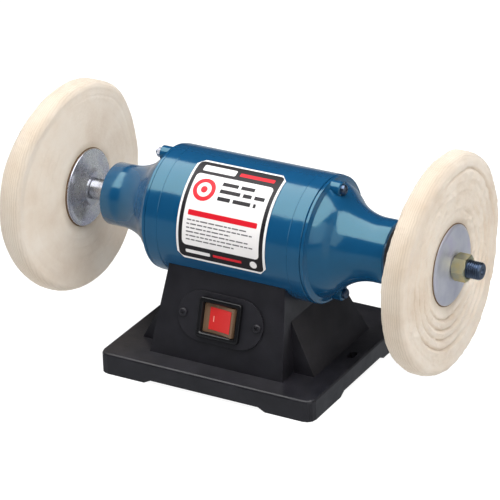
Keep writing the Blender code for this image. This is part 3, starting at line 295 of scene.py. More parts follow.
def yellow_zinc():
    m = Shader("yellow_zinc", (0.60, 0.58, 0.36), 0.28, 1.0)
    m.colored(m.noise(120, 3), (0.35, (0.55, 0.56, 0.42)), (0.65, (0.66, 0.60, 0.32)))
    m.bump(m.noise(900, 3), 0.00001)
    return m.material


def ground_steel():
    m = Shader("bright_steel", (0.56, 0.57, 0.6), 0.24, 1.0)
    m.varied("Roughness", m.noise(300, 3, stretch=(6, 1, 1)), 0.16, 0.34)
    m.bump(m.wave(900, "X", 0.8), 0.000008)
    return m.material


def blued_steel():
    m = Shader("blued_thread", (0.10, 0.13, 0.19), 0.3, 1.0)
    m.colored(m.noise(260, 3), (0.35, (0.09, 0.12, 0.18)), (0.65, (0.13, 0.18, 0.27)))
    m.bump(m.noise(1200, 3), 0.00001)
    return m.material


def cast_metal(name, color, roughness, scale=220):
    m = Shader(name, color, roughness, 1.0)
    m.tinted(m.noise(scale, 4), 0.2)
    m.bump(m.noise(scale * 3, 3), 0.00004)
    return m.material


def laminated(name):
    m = Shader(name, linear(96, 96, 100), 0.5, 1.0)
    m.bump(m.wave(320, "X"), 0.00008)
    m.tinted(m.wave(320, "X"), 0.25)
    return m.material


def wound_copper():
    m = Shader("copper_wire", linear(184, 110, 62), 0.35, 1.0)
    m.bump(m.wave(240, "X", 2.0), 0.0003)
    m.tinted(m.noise(90, 3), 0.25)
    return m.material


def moulded(name, color, roughness, grain=1400):
    m = Shader(name, color, roughness)
    m.varied("Roughness", m.noise(120, 3), roughness * 0.85, roughness * 1.15)
    m.bump(m.noise(grain, 2), 0.00001)
    return m.material


def cotton():
    """Unbleached cotton: woven, with painted shade round the tread, striped along the ply edges, and a ring
    of painted shade by the flange.
    """
    m = Shader("cotton_cloth", linear(233, 219, 202), 0.95, Sheen_Weight=0.35, Sheen_Roughness=0.6)
    m.set("Sheen Tint", (1.0, 0.97, 0.92, 1))
    tones = ((0.3, linear(224, 205, 184)), (0.5, linear(234, 219, 201)), (0.72, linear(241, 230, 216)))
    m.colored(m.noise(22, 5, 0.6), *tones)
    radius = m.from_spindle()
    # Painted shade: the tread darkened all round, with darker stripes where the ply edges meet.
    ply_edge_shade = m.ramp(m.wave(165, "X", 2.5), (0.0, (0.68, 0.66, 0.63)), (0.6, (0.79, 0.78, 0.76)))
    m.darkened(m.rising(radius, WHEEL_RADIUS - 7, WHEEL_RADIUS - 1.5), ply_edge_shade)
    # Painted shade: a darker, mottled ring on the cloth round the flange, standing in for the flange's
    # shadow.
    flange_shade = m.ramp(m.noise(30, 2), (0.3, (0.50, 0.44, 0.36)), (0.7, (0.85, 0.82, 0.76)))
    m.darkened(m.rising(radius, FLANGE_RADIUS + 9, FLANGE_RADIUS - 1, "SMOOTHSTEP"), flange_shade)
    m.bump(m.wave(520, "Y", 0.6), 0.00010)
    m.bump(m.wave(520, "Z", 0.6), 0.00010)
    m.bump(m.noise(420, 4, 0.6), 0.00020)
    return m.material


def printed(name, color):
    m = Shader(name, color, 0.38)
    m.set("Specular IOR Level", 0.25)
    m.tinted(m.noise(60, 2), 0.03)
    return m.material


MATERIALS = {
    "blue_enamel": enamel_blue(),
    "black_enamel": enamel_black(),
    "zinc_plate": zinc(),
    "yellow_zinc": yellow_zinc(),
    "bright_steel": ground_steel(),
    "laminations": laminated("laminations"),
    "copper_wire": wound_copper(),
    "die_cast": cast_metal("die_cast", linear(178, 180, 184), 0.45),
    "brass": cast_metal("brass", linear(196, 164, 92), 0.32),
    "cotton_cloth": cotton(),
    "black_rubber": moulded("black_rubber", linear(26, 26, 28), 0.7, 900),
    "black_plastic": moulded("black_plastic", linear(18, 18, 20), 0.22),
    "red_plastic": moulded("red_plastic", linear(200, 42, 40), 0.22),
    "grey_plastic": moulded("grey_plastic", linear(120, 122, 126), 0.45),
    "label_sheet": printed("label_sheet", linear(228, 226, 225)),
}
PRINT = {
    "black": printed("print_black", linear(30, 27, 30)),
    "red": printed("print_red", linear(205, 24, 40)),
    "white": printed("print_white", linear(228, 225, 224)),
    "grey": printed("print_grey", linear(105, 104, 106)),
}
SHEET_BLACK = black_sheet()
FIBRE = moulded("brown_fibre", linear(112, 84, 52), 0.8, 700)
BRIGHT_ZINC = bright_zinc()
BLUED = blued_steel()
SMOKY = moulded("smoky_plastic", linear(112, 88, 68), 0.25)
SWITCH_MARK = moulded("switch_mark", linear(232, 150, 138), 0.4)


# ---------------------------------------------------------------- shapes


def arc(centre, radius, start, end, steps):
    """Points of an arc, ends included, for angles in degrees."""
    angles = (math.radians(start + (end - start) * i / steps) for i in range(steps + 1))
    return [(centre[0] + radius * math.cos(a), centre[1] + radius * math.sin(a)) for a in angles]


def eased(points, radius, steps=4, closed=True):
    """The outline with its corners rounded, each cut back by the radius or by what its edges allow."""
    result = []
    count = len(points)
    for i, point in enumerate(points):
        if not closed and i in (0, count - 1):
            result.append(point)
            continue
        here, before, after = Vector(point), Vector(points[i - 1]), Vector(points[(i + 1) % count])
        reach = min(radius, 0.45 * (before - here).length, 0.45 * (after - here).length)
        start = here + (before - here).normalized() * reach
        end = here + (after - here).normalized() * reach
        for k in range(steps + 1):
            t = k / steps
            result.append(tuple(start * (1 - t) ** 2 + here * 2 * t * (1 - t) + end * t**2))
    return result


def rounded_rectangle(half_x, half_y, radius, steps=6):
    points = []
    for sign_x, sign_y, start in ((1, 1, 0), (-1, 1, 90), (-1, -1, 180), (1, -1, 270)):
        centre = (sign_x * (half_x - radius), sign_y * (half_y - radius))
        points += arc(centre, radius, start, start + 90, steps)
    return points


def skin(rows, around=True, capped=False):
    """Faces between rows of points. Rows of one point make a tip. around joins the last row to the first."""
    shape = bmesh.new()
    rings = [[shape.verts.new(point) for point in row] for row in rows]
    count = max(len(ring) for ring in rings)
    for low, high in zip(rings, rings[1:] + rings[:1] if around else rings[1:]):
        for i in range(count):
            after = (i + 1) % count
            corners = [low[i % len(low)], low[after % len(low)], high[after % len(high)], high[i % len(high)]]
            shape.faces.new(list(dict.fromkeys(corners)))
    if capped:
        shape.faces.new(rings[0])
        shape.faces.new(rings[-1])
    bmesh.ops.recalc_face_normals(shape, faces=shape.faces)
    return shape


def circle(x, radius, count):
    """Points on a circle about the spindle's axis."""
    turns = (2 * math.pi * i / count for i in range(count))
    return [(x, radius * math.cos(a), AXIS_Z + radius * math.sin(a)) for a in turns]


def turned(profile, side=1, count=ROUND):
    """A profile of (x, radius) points turned about the spindle. One that ends at radius 0 is solid."""
    rows = []
    for x, radius in profile:
        if radius == 0:
            rows.append([(side * x, 0, AXIS_Z)])
            continue
        rows.append(circle(side * x, radius, count))
    return skin(rows, around=len(rows[0]) > 1)


def added(shape, other):
    """The second shape's faces put into the first."""
    mesh = bpy.data.meshes.new("part")
    other.to_mesh(mesh)
    other.free()
    shape.from_mesh(mesh)
    bpy.data.meshes.remove(mesh)
    return shape


def piece(name, shape, material, body, *nodes, slot=None, angle=32):
    """An object in the frame, riding on its body and standing for its CAD nodes."""
    bmesh.ops.scale(shape, verts=shape.verts, vec=Vector((MM, MM, MM)))
    mesh = bpy.data.meshes.new(name)
    shape.to_mesh(mesh)
    shape.free()
    mesh.shade_smooth()
    mesh.set_sharp_from_angle(angle=math.radians(angle))
    mesh.materials.append(material)
    obj = bpy.data.objects.new(name, mesh)
    bpy.context.scene.collection.objects.link(obj)
    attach(obj, body)
    if nodes:
        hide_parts(*nodes)
    return obj


def scratch(shape):
    """A shape in millimetres as an object for Booleans, not part of the model."""
    mesh = bpy.data.meshes.new("scratch")
    shape.to_mesh(mesh)
    shape.free()
    obj = bpy.data.objects.new("scratch", mesh)
    bpy.context.scene.collection.objects.link(obj)
    return obj


def combined(shape, others, operation):
    """The shape with the others joined to it or cut from it."""
    target = scratch(shape)
    for other in others:
        tool = scratch(other)
        modifier = target.modifiers.new("work", "BOOLEAN")
        modifier.operation = operation
        modifier.object = tool
        graph = bpy.context.evaluated_depsgraph_get()
        mesh = bpy.data.meshes.new_from_object(target.evaluated_get(graph))
        target.modifiers.clear()
        target.data = mesh
        bpy.data.objects.remove(tool)
    result = bmesh.new()
    result.from_mesh(target.data)
    bpy.data.objects.remove(target)
    return result


def peg(radius, low, high, axis, at, count=40, ease=0.0):
    """A cylinder along an axis, with eased rims if asked."""
    layers = [(radius - ease, low), (radius, low + ease), (radius, high - ease), (radius - ease, high)]
    if not ease:
        layers = [(radius, low), (radius, high)]
    rows = []
    for ring, along in layers:
        row = []
        for i in range(count):
            a = 2 * math.pi * i / count
            across, up = at[0] + ring * math.cos(a), at[1] + ring * math.sin(a)
            row.append({"X": (along, across, up), "Y": (across, along, up), "Z": (across, up, along)}[axis])
        rows.append(row)
    return skin(rows, around=False, capped=True)


# ---------------------------------------------------------------- motor housing

EDGE = 0.5  # the barrel's broken edges
LIP = 3.0
LIP_STEP = 1.5
SHOULDER_SLOPE = 0.82
SHOULDER_SWELL = 0.9
FLARE_RADIUS = 50.0
NECK_RADIUS = 29.2
NECK_LENGTH = 14.5
NECK_WALL = 4.3
BELL_WALL = 4.0
SEAM = 0.3
BORE_RADIUS = BARREL_RADIUS - 3.6
TURNED_LINE_INSET = 12.5
TURNED_LINE_DEPTH = 0.35
TIE_BOSS_RADIUS = 7.0
TIE_BOSS_END = box("lower_tie_nut")[1].x * -1 - SEAM


def motor_barrel():
    line = BARREL_HALF - TURNED_LINE_INSET
    profile = [(-BARREL_HALF, BARREL_RADIUS - EDGE), (-BARREL_HALF + EDGE, BARREL_RADIUS)]
    for at in (-line, line):
        profile += [(at - EDGE, BARREL_RADIUS), (at, BARREL_RADIUS - TURNED_LINE_DEPTH)]
        profile += [(at + EDGE, BARREL_RADIUS)]
    profile += [(BARREL_HALF - EDGE, BARREL_RADIUS), (BARREL_HALF, BARREL_RADIUS - EDGE)]
    profile += [(BARREL_HALF, BORE_RADIUS), (-BARREL_HALF, BORE_RADIUS)]
    enamel = MATERIALS["blue_enamel"]
    piece("barrel_shell", turned(profile), enamel, "housing", "motor_barrel", slot="blue_enamel")


def bell_outside():
    """(x, radius) points from the neck's end to the lip: an arc, the shoulder, then a raised lip."""
    start = BARREL_HALF + SEAM
    lip_end = start + LIP
    angle = math.degrees(math.atan(SHOULDER_SLOPE))
    centre = (NECK_END - NECK_LENGTH, NECK_RADIUS + FLARE_RADIUS)
    flare = arc(centre, FLARE_RADIUS, -90, -90 - angle, 22)
    foot = flare[-1]
    shoulder = foot[1] + SHOULDER_SLOPE * (foot[0] - lip_end - LIP_STEP)
    neck = [(NECK_END, NECK_RADIUS - 0.9), (NECK_END - 0.25, NECK_RADIUS - 0.3)]
    neck += [(NECK_END - 0.9, NECK_RADIUS)]
    rise = []
    steps = 8
    for i in range(1, steps + 1):
        t = i / steps
        x = foot[0] + (lip_end + LIP_STEP - foot[0]) * t
        swell = SHOULDER_SWELL * math.sin(math.pi * t)
        rise.append((x, foot[1] + (shoulder - foot[1]) * t + swell))
    lip = [rise[-1], (lip_end, LIP_RADIUS - 2.0), (lip_end, LIP_RADIUS)]
    lip += [(start, LIP_RADIUS), (start, LIP_RADIUS - 3)]
    return neck + flare + rise[:-1] + eased(lip, 0.8, 4, closed=False)


def bell_inside():
    start = BARREL_HALF + SEAM
    return [
        (start, BORE_RADIUS - SEAM),
        (start + 1, BORE_RADIUS - BELL_WALL),
        (start + 12, BORE_RADIUS - BELL_WALL - 9),
        (NECK_END - NECK_LENGTH - 8, NECK_RADIUS - NECK_WALL),
        (NECK_END, NECK_RADIUS - NECK_WALL),
    ]


def end_bell(prefix, side):
    bell = turned(bell_outside() + bell_inside(), side)
    start = BARREL_HALF + SEAM + 0.4 * LIP
    bosses = []
    for up in (-1, 1):
        low, high = sorted((side * start, side * TIE_BOSS_END))
        at = (0, middle("upper_tie_nut").z if up > 0 else middle("lower_tie_nut").z)
        bosses.append(peg(TIE_BOSS_RADIUS, low, high, "X", at, 48, 0.7))
    shape = combined(bell, bosses, "UNION")
    name, node = f"{prefix}_bell_casting", f"{prefix}_end_bell"
    piece(name, shape, MATERIALS["blue_enamel"], "housing", node, slot="blue_enamel", angle=28)


# ---------------------------------------------------------------- spindle, flanges and nuts

THREAD_PITCH = 2.0
THREAD_DEPTH = 0.95
THREAD_COUNT = 48  # steps round the thread
THREAD_STEPS = 10  # along one pitch
THREAD_START = 0.8  # how far the plain part under the nut lies below the thread's crest
BORE_GAP = 0.3  # between the thread and what is pushed over it
JOURNAL_RADIUS = 10.0
THREAD_RADIUS = 8.0
SHOULDER_AT = box("right_inner_flange")[0].x - SEAM


def spindle_middle():
    """The plain shaft between the two shoulders."""
    profile = [(-SHOULDER_AT, 0), (-SHOULDER_AT, JOURNAL_RADIUS - 0.5), (-SHOULDER_AT + 0.5, JOURNAL_RADIUS)]
    profile += [(-x, r) for x, r in reversed(profile)]
    piece("spindle_journals", turned(profile, 1, 72), MATERIALS["bright_steel"], "spindle", "spindle_shaft",
          slot="bright_steel", angle=40)


def thread_radius(along, angle):
    """The radius of a thread that climbs by its pitch in one turn, with a chamfer at the spindle's end."""
    phase = (along / THREAD_PITCH - angle / (2 * math.pi)) % 1
    ridge = abs(2 * phase - 1)
    cut = THREAD_DEPTH * (1 - min(1.0, 1.25 * ridge))
    chamfer = max(0.0, along - (SPINDLE_HALF - 1.4))
    return min(THREAD_RADIUS - cut, THREAD_RADIUS - 0.8 * chamfer)


def threaded_end(prefix, side):
    """The clamping thread: right-handed on the right, and its mirror image on the left."""
    start = SHOULDER_AT - 0.5
    visible = box("right_spindle_nut")[0].x - 2
    steps = int((SPINDLE_HALF - visible) / (THREAD_PITCH / THREAD_STEPS))
    rows = [[(side * start, 0, AXIS_Z)]]
    places = [visible + (SPINDLE_HALF - visible) * i / steps for i in range(1, steps + 1)]
    for x in [start, visible] + places:
        row = []
        for i in range(THREAD_COUNT):
            a = 2 * math.pi * i / THREAD_COUNT
            r = thread_radius(x, a) if x > visible else THREAD_RADIUS - THREAD_START
            row.append((side * x, r * math.cos(a), AXIS_Z + r * math.sin(a)))
        rows.append(row)
    for x, r in ((SPINDLE_HALF, 3.0), (SPINDLE_HALF - 0.5, 2.4), (SPINDLE_HALF - 3, 0.9)):
        rows.append(circle(side * x, r, THREAD_COUNT))
    rows.append([(side * (SPINDLE_HALF - 3.4), 0, AXIS_Z)])
    thread = skin(rows, around=False)
    piece(f"{prefix}_spindle_thread", thread, BLUED, "spindle", slot="bright_steel", angle=30)


def inner_flange(prefix, side):
    """A dished pressing: a flat hub on the shoulder, a cone, and a rolled rim against the cloth."""
    low, high = box("right_inner_flange")
    start, end = low.x, high.x
    sheet = 2.2
    outside = [(start, THREAD_RADIUS + BORE_GAP), (start, 15.0), (start + 2.2, 19.0)]
    outside += [(end - sheet - 0.8, FLANGE_RADIUS - 9), (end - sheet, FLANGE_RADIUS - 5)]
    outside += [(end - sheet, FLANGE_RADIUS)]
    inside = [(end, FLANGE_RADIUS), (end, FLANGE_RADIUS - 8), (start + sheet + 1.4, 15.0)]
    inside += [(start + sheet + 1.4, THREAD_RADIUS + BORE_GAP)]
    shape = turned(eased(outside + inside, 1.0), side, 96)
    node = f"{prefix}_inner_flange"
    piece(f"{prefix}_inner_clamp", shape, BRIGHT_ZINC, "spindle", node, slot="zinc_plate", angle=40)


def outer_flange(prefix, side):
    """A shallow pressing whose middle stands out to the nut, with a bevelled rim."""
    low, high = box("right_outer_flange")
    start, end = low.x, high.x
    outside = [(end, THREAD_RADIUS + BORE_GAP), (end, 14.5), (end - 0.7, 17.5), (end - 1.7, 27.0)]
    outside += [(end - 1.8, FLANGE_RADIUS - 2.4), (end - 3.4, FLANGE_RADIUS)]
    inside = [(start, FLANGE_RADIUS), (start, FLANGE_RADIUS - 8), (end - 2.4, 14.0)]
    inside += [(end - 2.4, THREAD_RADIUS + BORE_GAP)]
    shape = turned(eased(outside + inside, 0.9), side, 96)
    name, node = f"{prefix}_outer_clamp", f"{prefix}_outer_flange"
    piece(name, shape, MATERIALS["zinc_plate"], "spindle", node, slot="zinc_plate", angle=40)


def spindle_nut(prefix, side):
    """A hexagon nut whose corners are turned to a cone at both faces."""
    low, high = box("right_spindle_nut")
    flats = min(high.y - low.y, high.z - low.z) / 2
    count = 120
    rows = []
    ease = 1.9  # how far along the nut the cone reaches
    slope = 1.75
    length = high.x - low.x
    layers = [0.0] + [ease * i / 5 for i in range(1, 6)]
    layers += [length - at for at in reversed(layers)]
    for at in layers:
        cone = flats * 0.97 + min(at, length - at) * slope
        row = []
        for i in range(count):
            a = 2 * math.pi * i / count
            from_corner = (a + math.pi / 6) % (math.pi / 3) - math.pi / 6
            from_flat = math.pi / 6 - abs(from_corner)
            r = min(flats / math.cos(from_flat), cone)
            row.append((side * (low.x + at), r * math.cos(a), AXIS_Z + r * math.sin(a)))
        rows.append(row)
    bore = []
    mouth, inner = THREAD_RADIUS + 1.3, THREAD_RADIUS + 0.2
    for at, r in ((length, mouth), (length - 1, inner), (1, inner), (0, mouth)):
        bore.append(circle(side * (low.x + at), r, count))
    name, node = f"{prefix}_clamp_nut", f"{prefix}_spindle_nut"
    plating = MATERIALS["yellow_zinc"]
    piece(name, skin(rows + bore), plating, "spindle", node, slot="yellow_zinc", angle=20)


# ---------------------------------------------------------------- cloth wheels

STITCH_ROWS = (49.0, 57.5, 66.0, 74.5)  # radii
OUTER_STEP = 86.0  # radius of the crease near the rim
WHEEL_TURNS = 288  # steps round a wheel
# Of each wheel: its own noise, the rim's inner and outer halves, the share of the face's relief, and its
# warp, which is how far the rim leans outwards all round, twice round, at the front and at the top
WHEEL_SHAPES = {
    "left": (23.0, 9.5, 13.0, 0.12, (2.0, 4.0, 4.5, 2.5)),
    "right": (11.0, 6.5, 14.0, 2.1, (0.0, -2.3, 0.0, 0.3)),
}
FIBRE_SHEET = 1.8
FIBRE_GAP = 0.05
FIBRE_RADIUS = FLANGE_RADIUS + 0.9


def cloth_relief(radius, angle, seed):
    """How far the cloth's face stands out, in millimetres, between and along the stitched rows."""
    free = min(1.0, max(0.0, (radius - FIBRE_RADIUS - 1.0) / 6))
    if not free:
        return 0.0
    around = Vector((math.cos(angle) * 1.3, math.sin(angle) * 1.3, seed))
    wander = 2.2 * noise.noise(around)
    relief = 0.0
    for number, row in enumerate(STITCH_ROWS):
        off = radius - row - wander * (0.6 + 0.25 * number)
        uneven = 0.5 * noise.noise(around * 2 + Vector((0, 0, 5.0 * number)))
        depth = max(0.12, 0.75 - 0.45 * math.sin(angle + 0.5) + uneven)
        relief -= depth * math.exp(-((off / 1.15) ** 2))
        relief += 0.45 * depth * math.exp(-(((off - 3.2) / 1.9) ** 2))
    step = radius - OUTER_STEP - 2.4 * noise.noise(around * 1.5)
    crease = 0.35 + 1.5 * max(0.0, math.cos(angle - 0.75)) ** 3
    relief -= crease * math.exp(-((step / 1.25) ** 2))
    y, z = radius * math.cos(angle), radius * math.sin(angle)
    relief += 0.55 * noise.noise(Vector((y / 8, z / 8, seed + 3)))
    relief += 0.34 * noise.noise(Vector((y / 3.0, z / 3.0, seed + 4)))
    return relief * free


def wheel_side(rim, shoulder):
    """(half width, radius) of one side, from the bore over the face and round the rim to the tread."""
    hub = (box("right_outer_flange")[0].x - box("right_inner_flange")[1].x) / 2 - SEAM
    points = [(hub, THREAD_RADIUS + 0.4), (hub, 20.0), (hub, FLANGE_RADIUS - 2)]
    points += [(hub - 0.2, FIBRE_RADIUS - 0.3)]
    steps = 64
    end = WHEEL_RADIUS - shoulder
    for i in range(steps + 1):
        t = i / steps
        swell = math.sin(math.pi / 2 * min(1.0, t / 0.7))
        points.append((hub + (rim - 0.3 - hub) * swell, FIBRE_RADIUS + 0.6 + (end - FIBRE_RADIUS - 0.6) * t))
    steps = 10
    for i in range(1, steps + 1):
        a = math.pi / 2 * i / steps
        points.append((rim - shoulder * (1 - math.cos(a)), WHEEL_RADIUS - shoulder * (1 - math.sin(a))))
    return points


def buff_wheel(prefix, side):
    """Cloth layers stitched in rings: clamped flat at the flanges, puckered, with a soft uneven rim."""
    seed, inner, outer, bold, (lean, saddle, front, top) = WHEEL_SHAPES[prefix]
    outward_side = wheel_side(outer, 0.62 * outer)
    inward_side = wheel_side(inner, 0.8 * inner)
    profile = [(x, r, 1) for x, r in outward_side] + [(-x, r, -1) for x, r in reversed(inward_side)]
    rows = []
    for x, radius, outward in profile:
        row = []
        reach = min(1.0, max(0.0, (radius - FIBRE_RADIUS - 2) / (WHEEL_RADIUS - FIBRE_RADIUS - 14)))
        near_rim = max(0.0, (radius - (WHEEL_RADIUS - 16)) / 16)
        for i in range(WHEEL_TURNS):
            a = 2 * math.pi * i / WHEEL_TURNS
            spot = Vector((math.cos(a) * 1.7, math.sin(a) * 1.7, seed))
            flop = (0.9 * noise.noise(spot) + 0.8 * noise.noise(spot * 2.3)) * near_rim
            pull = 0.9 * noise.noise(spot * 2.1 + Vector((5, 0, 0))) * near_rim
            fray = 0.45 * noise.noise(Vector((a * 22, x * 1.1, seed))) * near_rim**2
            relief = cloth_relief(radius, a, seed + 2 * outward) * bold
            r = radius - 0.3 * near_rim + pull + fray
            tip = lean + saddle * math.cos(2 * a) - front * math.cos(a) + top * math.sin(a)
            out = x + flop + tip * reach**1.5 + outward * relief * (1 - 0.6 * near_rim)
            row.append((side * (WHEEL_MIDDLE + out), r * math.cos(a), AXIS_Z + r * math.sin(a)))
        rows.append(row)
    name, node = f"{prefix}_cloth_wheel", f"{prefix}_buff_wheel"
    cloth = MATERIALS["cotton_cloth"]
    wheel = piece(name, skin(rows), cloth, "spindle", node, slot="cotton_cloth", angle=75)


def fibre_discs(prefix, side):
    """The brown washers that back each flange against the cloth."""
    outer_face, inner_face = box("right_outer_flange")[0].x, box("right_inner_flange")[1].x
    sheets = {
        "outer": (outer_face - FIBRE_SHEET, outer_face - FIBRE_GAP),
        "inner": (inner_face + FIBRE_GAP, inner_face + FIBRE_SHEET),
    }
    hidden = FLANGE_RADIUS - 3
    for word, (low, high) in sheets.items():
        ring = [(low, hidden), (low, FIBRE_RADIUS), (high, FIBRE_RADIUS), (high, hidden)]
        disc_name = f"{prefix}_{word}_fibre_disc"
        piece(disc_name, turned(ring, side, 96), FIBRE, "spindle", slot="cotton_cloth", angle=30)


# ---------------------------------------------------------------- label

LABEL_LEVEL = BARREL_RADIUS + 0.8
LABEL_HALF = box("front_label")[1].x
LABEL_FROM = -18.0  # degrees above the front of the barrel
LABEL_TO = 79.0
PRINT_SHEET = 0.06  # between the levels of print, which lie one on another
LABEL_TALL = math.radians(LABEL_TO - LABEL_FROM) * LABEL_LEVEL


def panel(low, high, radius, level):
    """A rounded panel on the label from corner to corner, divided into strips that follow the curve."""
    width, tall = high[0] - low[0], high[1] - low[1]
    radius = min(radius, width / 2 - 0.01, tall / 2 - 0.01)
    steps = max(2, int(tall / 1.5))
    ups = sorted(set([tall * i / steps for i in range(steps + 1)] +
                     [radius * (1 - math.cos(math.pi / 2 * k / 5)) for k in range(6)] +
                     [tall - radius * (1 - math.cos(math.pi / 2 * k / 5)) for k in range(6)]))
    base = LABEL_LEVEL + level * PRINT_SHEET - 0.02
    rows = []
    for up in ups:
        over = max(0.0, radius - up, up - (tall - radius))
        inset = radius - math.sqrt(max(0.0, radius**2 - over**2))
        inset = min(inset, width / 2 - 0.02)
        a = math.radians(LABEL_FROM) + (low[1] + up) / LABEL_LEVEL
        row = []
        for x, r in ((low[0] + inset, base), (high[0] - inset, base), (high[0] - inset, base + PRINT_SHEET),
                     (low[0] + inset, base + PRINT_SHEET)):
            row.append((x, -r * math.cos(a), AXIS_Z + r * math.sin(a)))
        rows.append(row)
    return skin(rows, around=False, capped=True)


def disc(centre, radius, level):
    across, up = centre
    return panel((across - radius, up - radius), (across + radius, up + radius), radius, level)


def text_lines(left, right, top, pitch, thick, lengths, level):
    """Bars that stand in for lines of print, from the top down."""
    shapes = []
    for number, share in enumerate(lengths):
        up = top - number * pitch
        at = left
        end = left + (right - left) * share
        spacing = random.Random(number + int(10 * top))
        while at < end:
            word = min(end - at, spacing.uniform(2.2, 6.5) * thick)
            shapes.append(panel((at, up - thick), (at + word, up), 0.2, level))
            at += word + 0.8 * thick
    return shapes


def label_print(name, color, shapes):
    whole = shapes[0]
    for other in shapes[1:]:
        added(whole, other)
    piece(name, whole, PRINT[color], "housing", slot="label_sheet", angle=40)


def label():
    """A white-edged sheet with a black frame, a white panel and plain marks in place of any print."""
    edge = 2.2
    frame_low, frame_high = (-LABEL_HALF + edge, edge), (LABEL_HALF - edge, LABEL_TALL - edge)
    label_print("label_frame", "black", [panel(frame_low, frame_high, 4.5, 1)])
    left, right = -LABEL_HALF + 6, LABEL_HALF - 6
    low, high = 15.0, LABEL_TALL - 17.0
    label_print("label_panel", "white", [panel((left, low), (right, high), 4.0, 2)])
    band = LABEL_TALL - 13.5
    label_print("label_top_bar", "white", [panel((left + 3, band), (left + 36, band + 7), 1.4, 2)])
    label_print("label_top_accent", "red", [panel((left + 40, band + 1.2), (right - 3, band + 5.2), 0.8, 2)])
    emblem = (left + 13.5, high - 15.5)
    red_bar = panel((left + 4, 43), (right - 4, 48), 1.0, 3)
    label_print("label_wheel_emblem", "red", [disc(emblem, 11.0, 3), red_bar])
    label_print("label_wheel_emblem_face", "white", [disc(emblem, 7.0, 4)])
    label_print("label_wheel_emblem_hub", "red", [disc(emblem, 3.2, 5)])
    heading = text_lines(left + 29, right - 4, high - 5.0, 7.2, 3.6, (0.72, 1.0, 0.86), 3)
    label_print("label_heading_bars", "black", heading)
    small = text_lines(left + 4, right - 4, 39.5, 3.6, 1.2, (0.86, 0.95, 0.64, 0.9, 0.97, 0.7), 3)
    label_print("label_small_bars", "grey", small)
    foot = [panel((left + 3, 7.0), (left + 28, 10.5), 1.0, 2), disc((right - 6, 8.6), 3.6, 2)]
    label_print("label_foot_marks", "white", foot)
    label_print("label_foot_accent", "red", [panel((left + 31, 7.4), (left + 60, 10.0), 0.8, 2)])


# ---------------------------------------------------------------- switch


def switch_matrix():
    """Switch coordinates to the frame: X across, Y into the box, Z up its sloping front."""
    across = Vector((1, 0, 0))
    inward = SWITCH_UP.cross(across).normalized()
    rows = Matrix((across, inward, SWITCH_UP)).transposed().to_4x4()
    rows.translation = SWITCH_PIVOT
    return rows


def on_switch(shape):
    bmesh.ops.transform(shape, matrix=switch_matrix(), verts=shape.verts)
    return shape


PIVOT_DEPTH = 5.0  # of the rocker's pivot behind the bezel's face
BEZEL_HALF_WIDTH = 21.5
BEZEL_HALF_HEIGHT = 18.5
BEZEL_PROUD = 4.0
BEZEL_EASE = 1.2
POCKET_HALF_WIDTH = 17.2
POCKET_HALF_HEIGHT = 13.6
POCKET_DEPTH = 13.5
TUBE_WALL = 1.8
BODY_DEPTH = 19.0
PLATE_SHEET = 1.5


def switch_layers(layers):
    """Rings of rounded rectangles at (depth, half width, half height, corner radius)."""
    rows = []
    for depth, half_x, half_z, radius in layers:
        outline = rounded_rectangle(half_x, half_z, radius)
        rows.append([(x, depth, z) for x, z in outline])
    return rows


def switch_body():
    front = -PIVOT_DEPTH
    back = front + BEZEL_PROUD
    w, h = BEZEL_HALF_WIDTH, BEZEL_HALF_HEIGHT
    p, q = POCKET_HALF_WIDTH, POCKET_HALF_HEIGHT
    layers = [(back + PLATE_SHEET + BODY_DEPTH, p + TUBE_WALL, q + TUBE_WALL, 1.2)]
    layers += [(back, p + TUBE_WALL, q + TUBE_WALL, 1.2), (back, w, h, 3.0)]
    for i in range(5):
        a = math.pi / 2 * i / 4
        inset = BEZEL_EASE * (1 - math.cos(a))
        layers.append((front + BEZEL_EASE * (1 - math.sin(a)), w - inset, h - inset, 2.8))
    layers += [(front + 0.1, p + 1.2, q + 1.2, 1.8), (front + 0.9, p + 0.25, q + 0.25, 1.1)]
    layers += [(front + 1.6, p, q, 1.0), (front + POCKET_DEPTH, p, q, 1.0)]
    shape = skin(switch_layers(layers), around=False, capped=True)
    piece("switch_housing", on_switch(shape), MATERIALS["black_plastic"], "housing", "switch_body",
          slot="black_plastic", angle=30)


ROCKER_TILT = 10.0  # degrees, half of the joint's range
ROCKER_RADIUS = 16.8
ROCKER_CREST = 3.4
ROCKER_VALLEY = 1.4
ROCKER_BELLY = 5.0
ROCKER_HALF = 13.2
ROCKER_EASE = 0.8


def rocker_hollow(x):
    """The height of the rocker's face above its pivot: a parabola from the crests down to the valley."""
    reach = math.sqrt(ROCKER_RADIUS**2 - ROCKER_CREST**2)
    return ROCKER_VALLEY + (ROCKER_CREST - ROCKER_VALLEY) * (x / reach) ** 2


def rocker_outline():
    """(x, height) points: a round end, the hollow face, the other end and a narrow belly."""
    high = math.degrees(math.asin(ROCKER_CREST / ROCKER_RADIUS))
    right = arc((0, 0), ROCKER_RADIUS, -12, high, 8)
    left = [(-x, y) for x, y in reversed(right)]
    across = [right[-1][0] * (1 - i / 8) for i in range(1, 16)]
    hollow = [(x, rocker_hollow(x)) for x in across]
    return right + hollow + left + [(-5, -ROCKER_BELLY), (5, -ROCKER_BELLY)]


def tilted(shape):
    """A shape of the rocker turned to its rest position, in the frame."""
    tilt = Matrix.Rotation(math.radians(-ROCKER_TILT), 4, "Z")
    bmesh.ops.transform(shape, matrix=tilt, verts=shape.verts)
    return on_switch(shape)


def rocker_slab():
    """The rocker's outline extruded across, with eased sides."""
    outline = rocker_outline()
    half, ease = ROCKER_HALF, ROCKER_EASE
    rows = []
    for z, inset in ((-half, ease), (-half + 0.3 * ease, 0.3 * ease), (-half + ease, 0), (half - ease, 0),
                     (half - 0.3 * ease, 0.3 * ease), (half, ease)):
        share = 1 - inset / ROCKER_RADIUS
        rows.append([(x * share, -y * share, z) for x, y in outline])
    return tilted(skin(rows, around=False, capped=True))


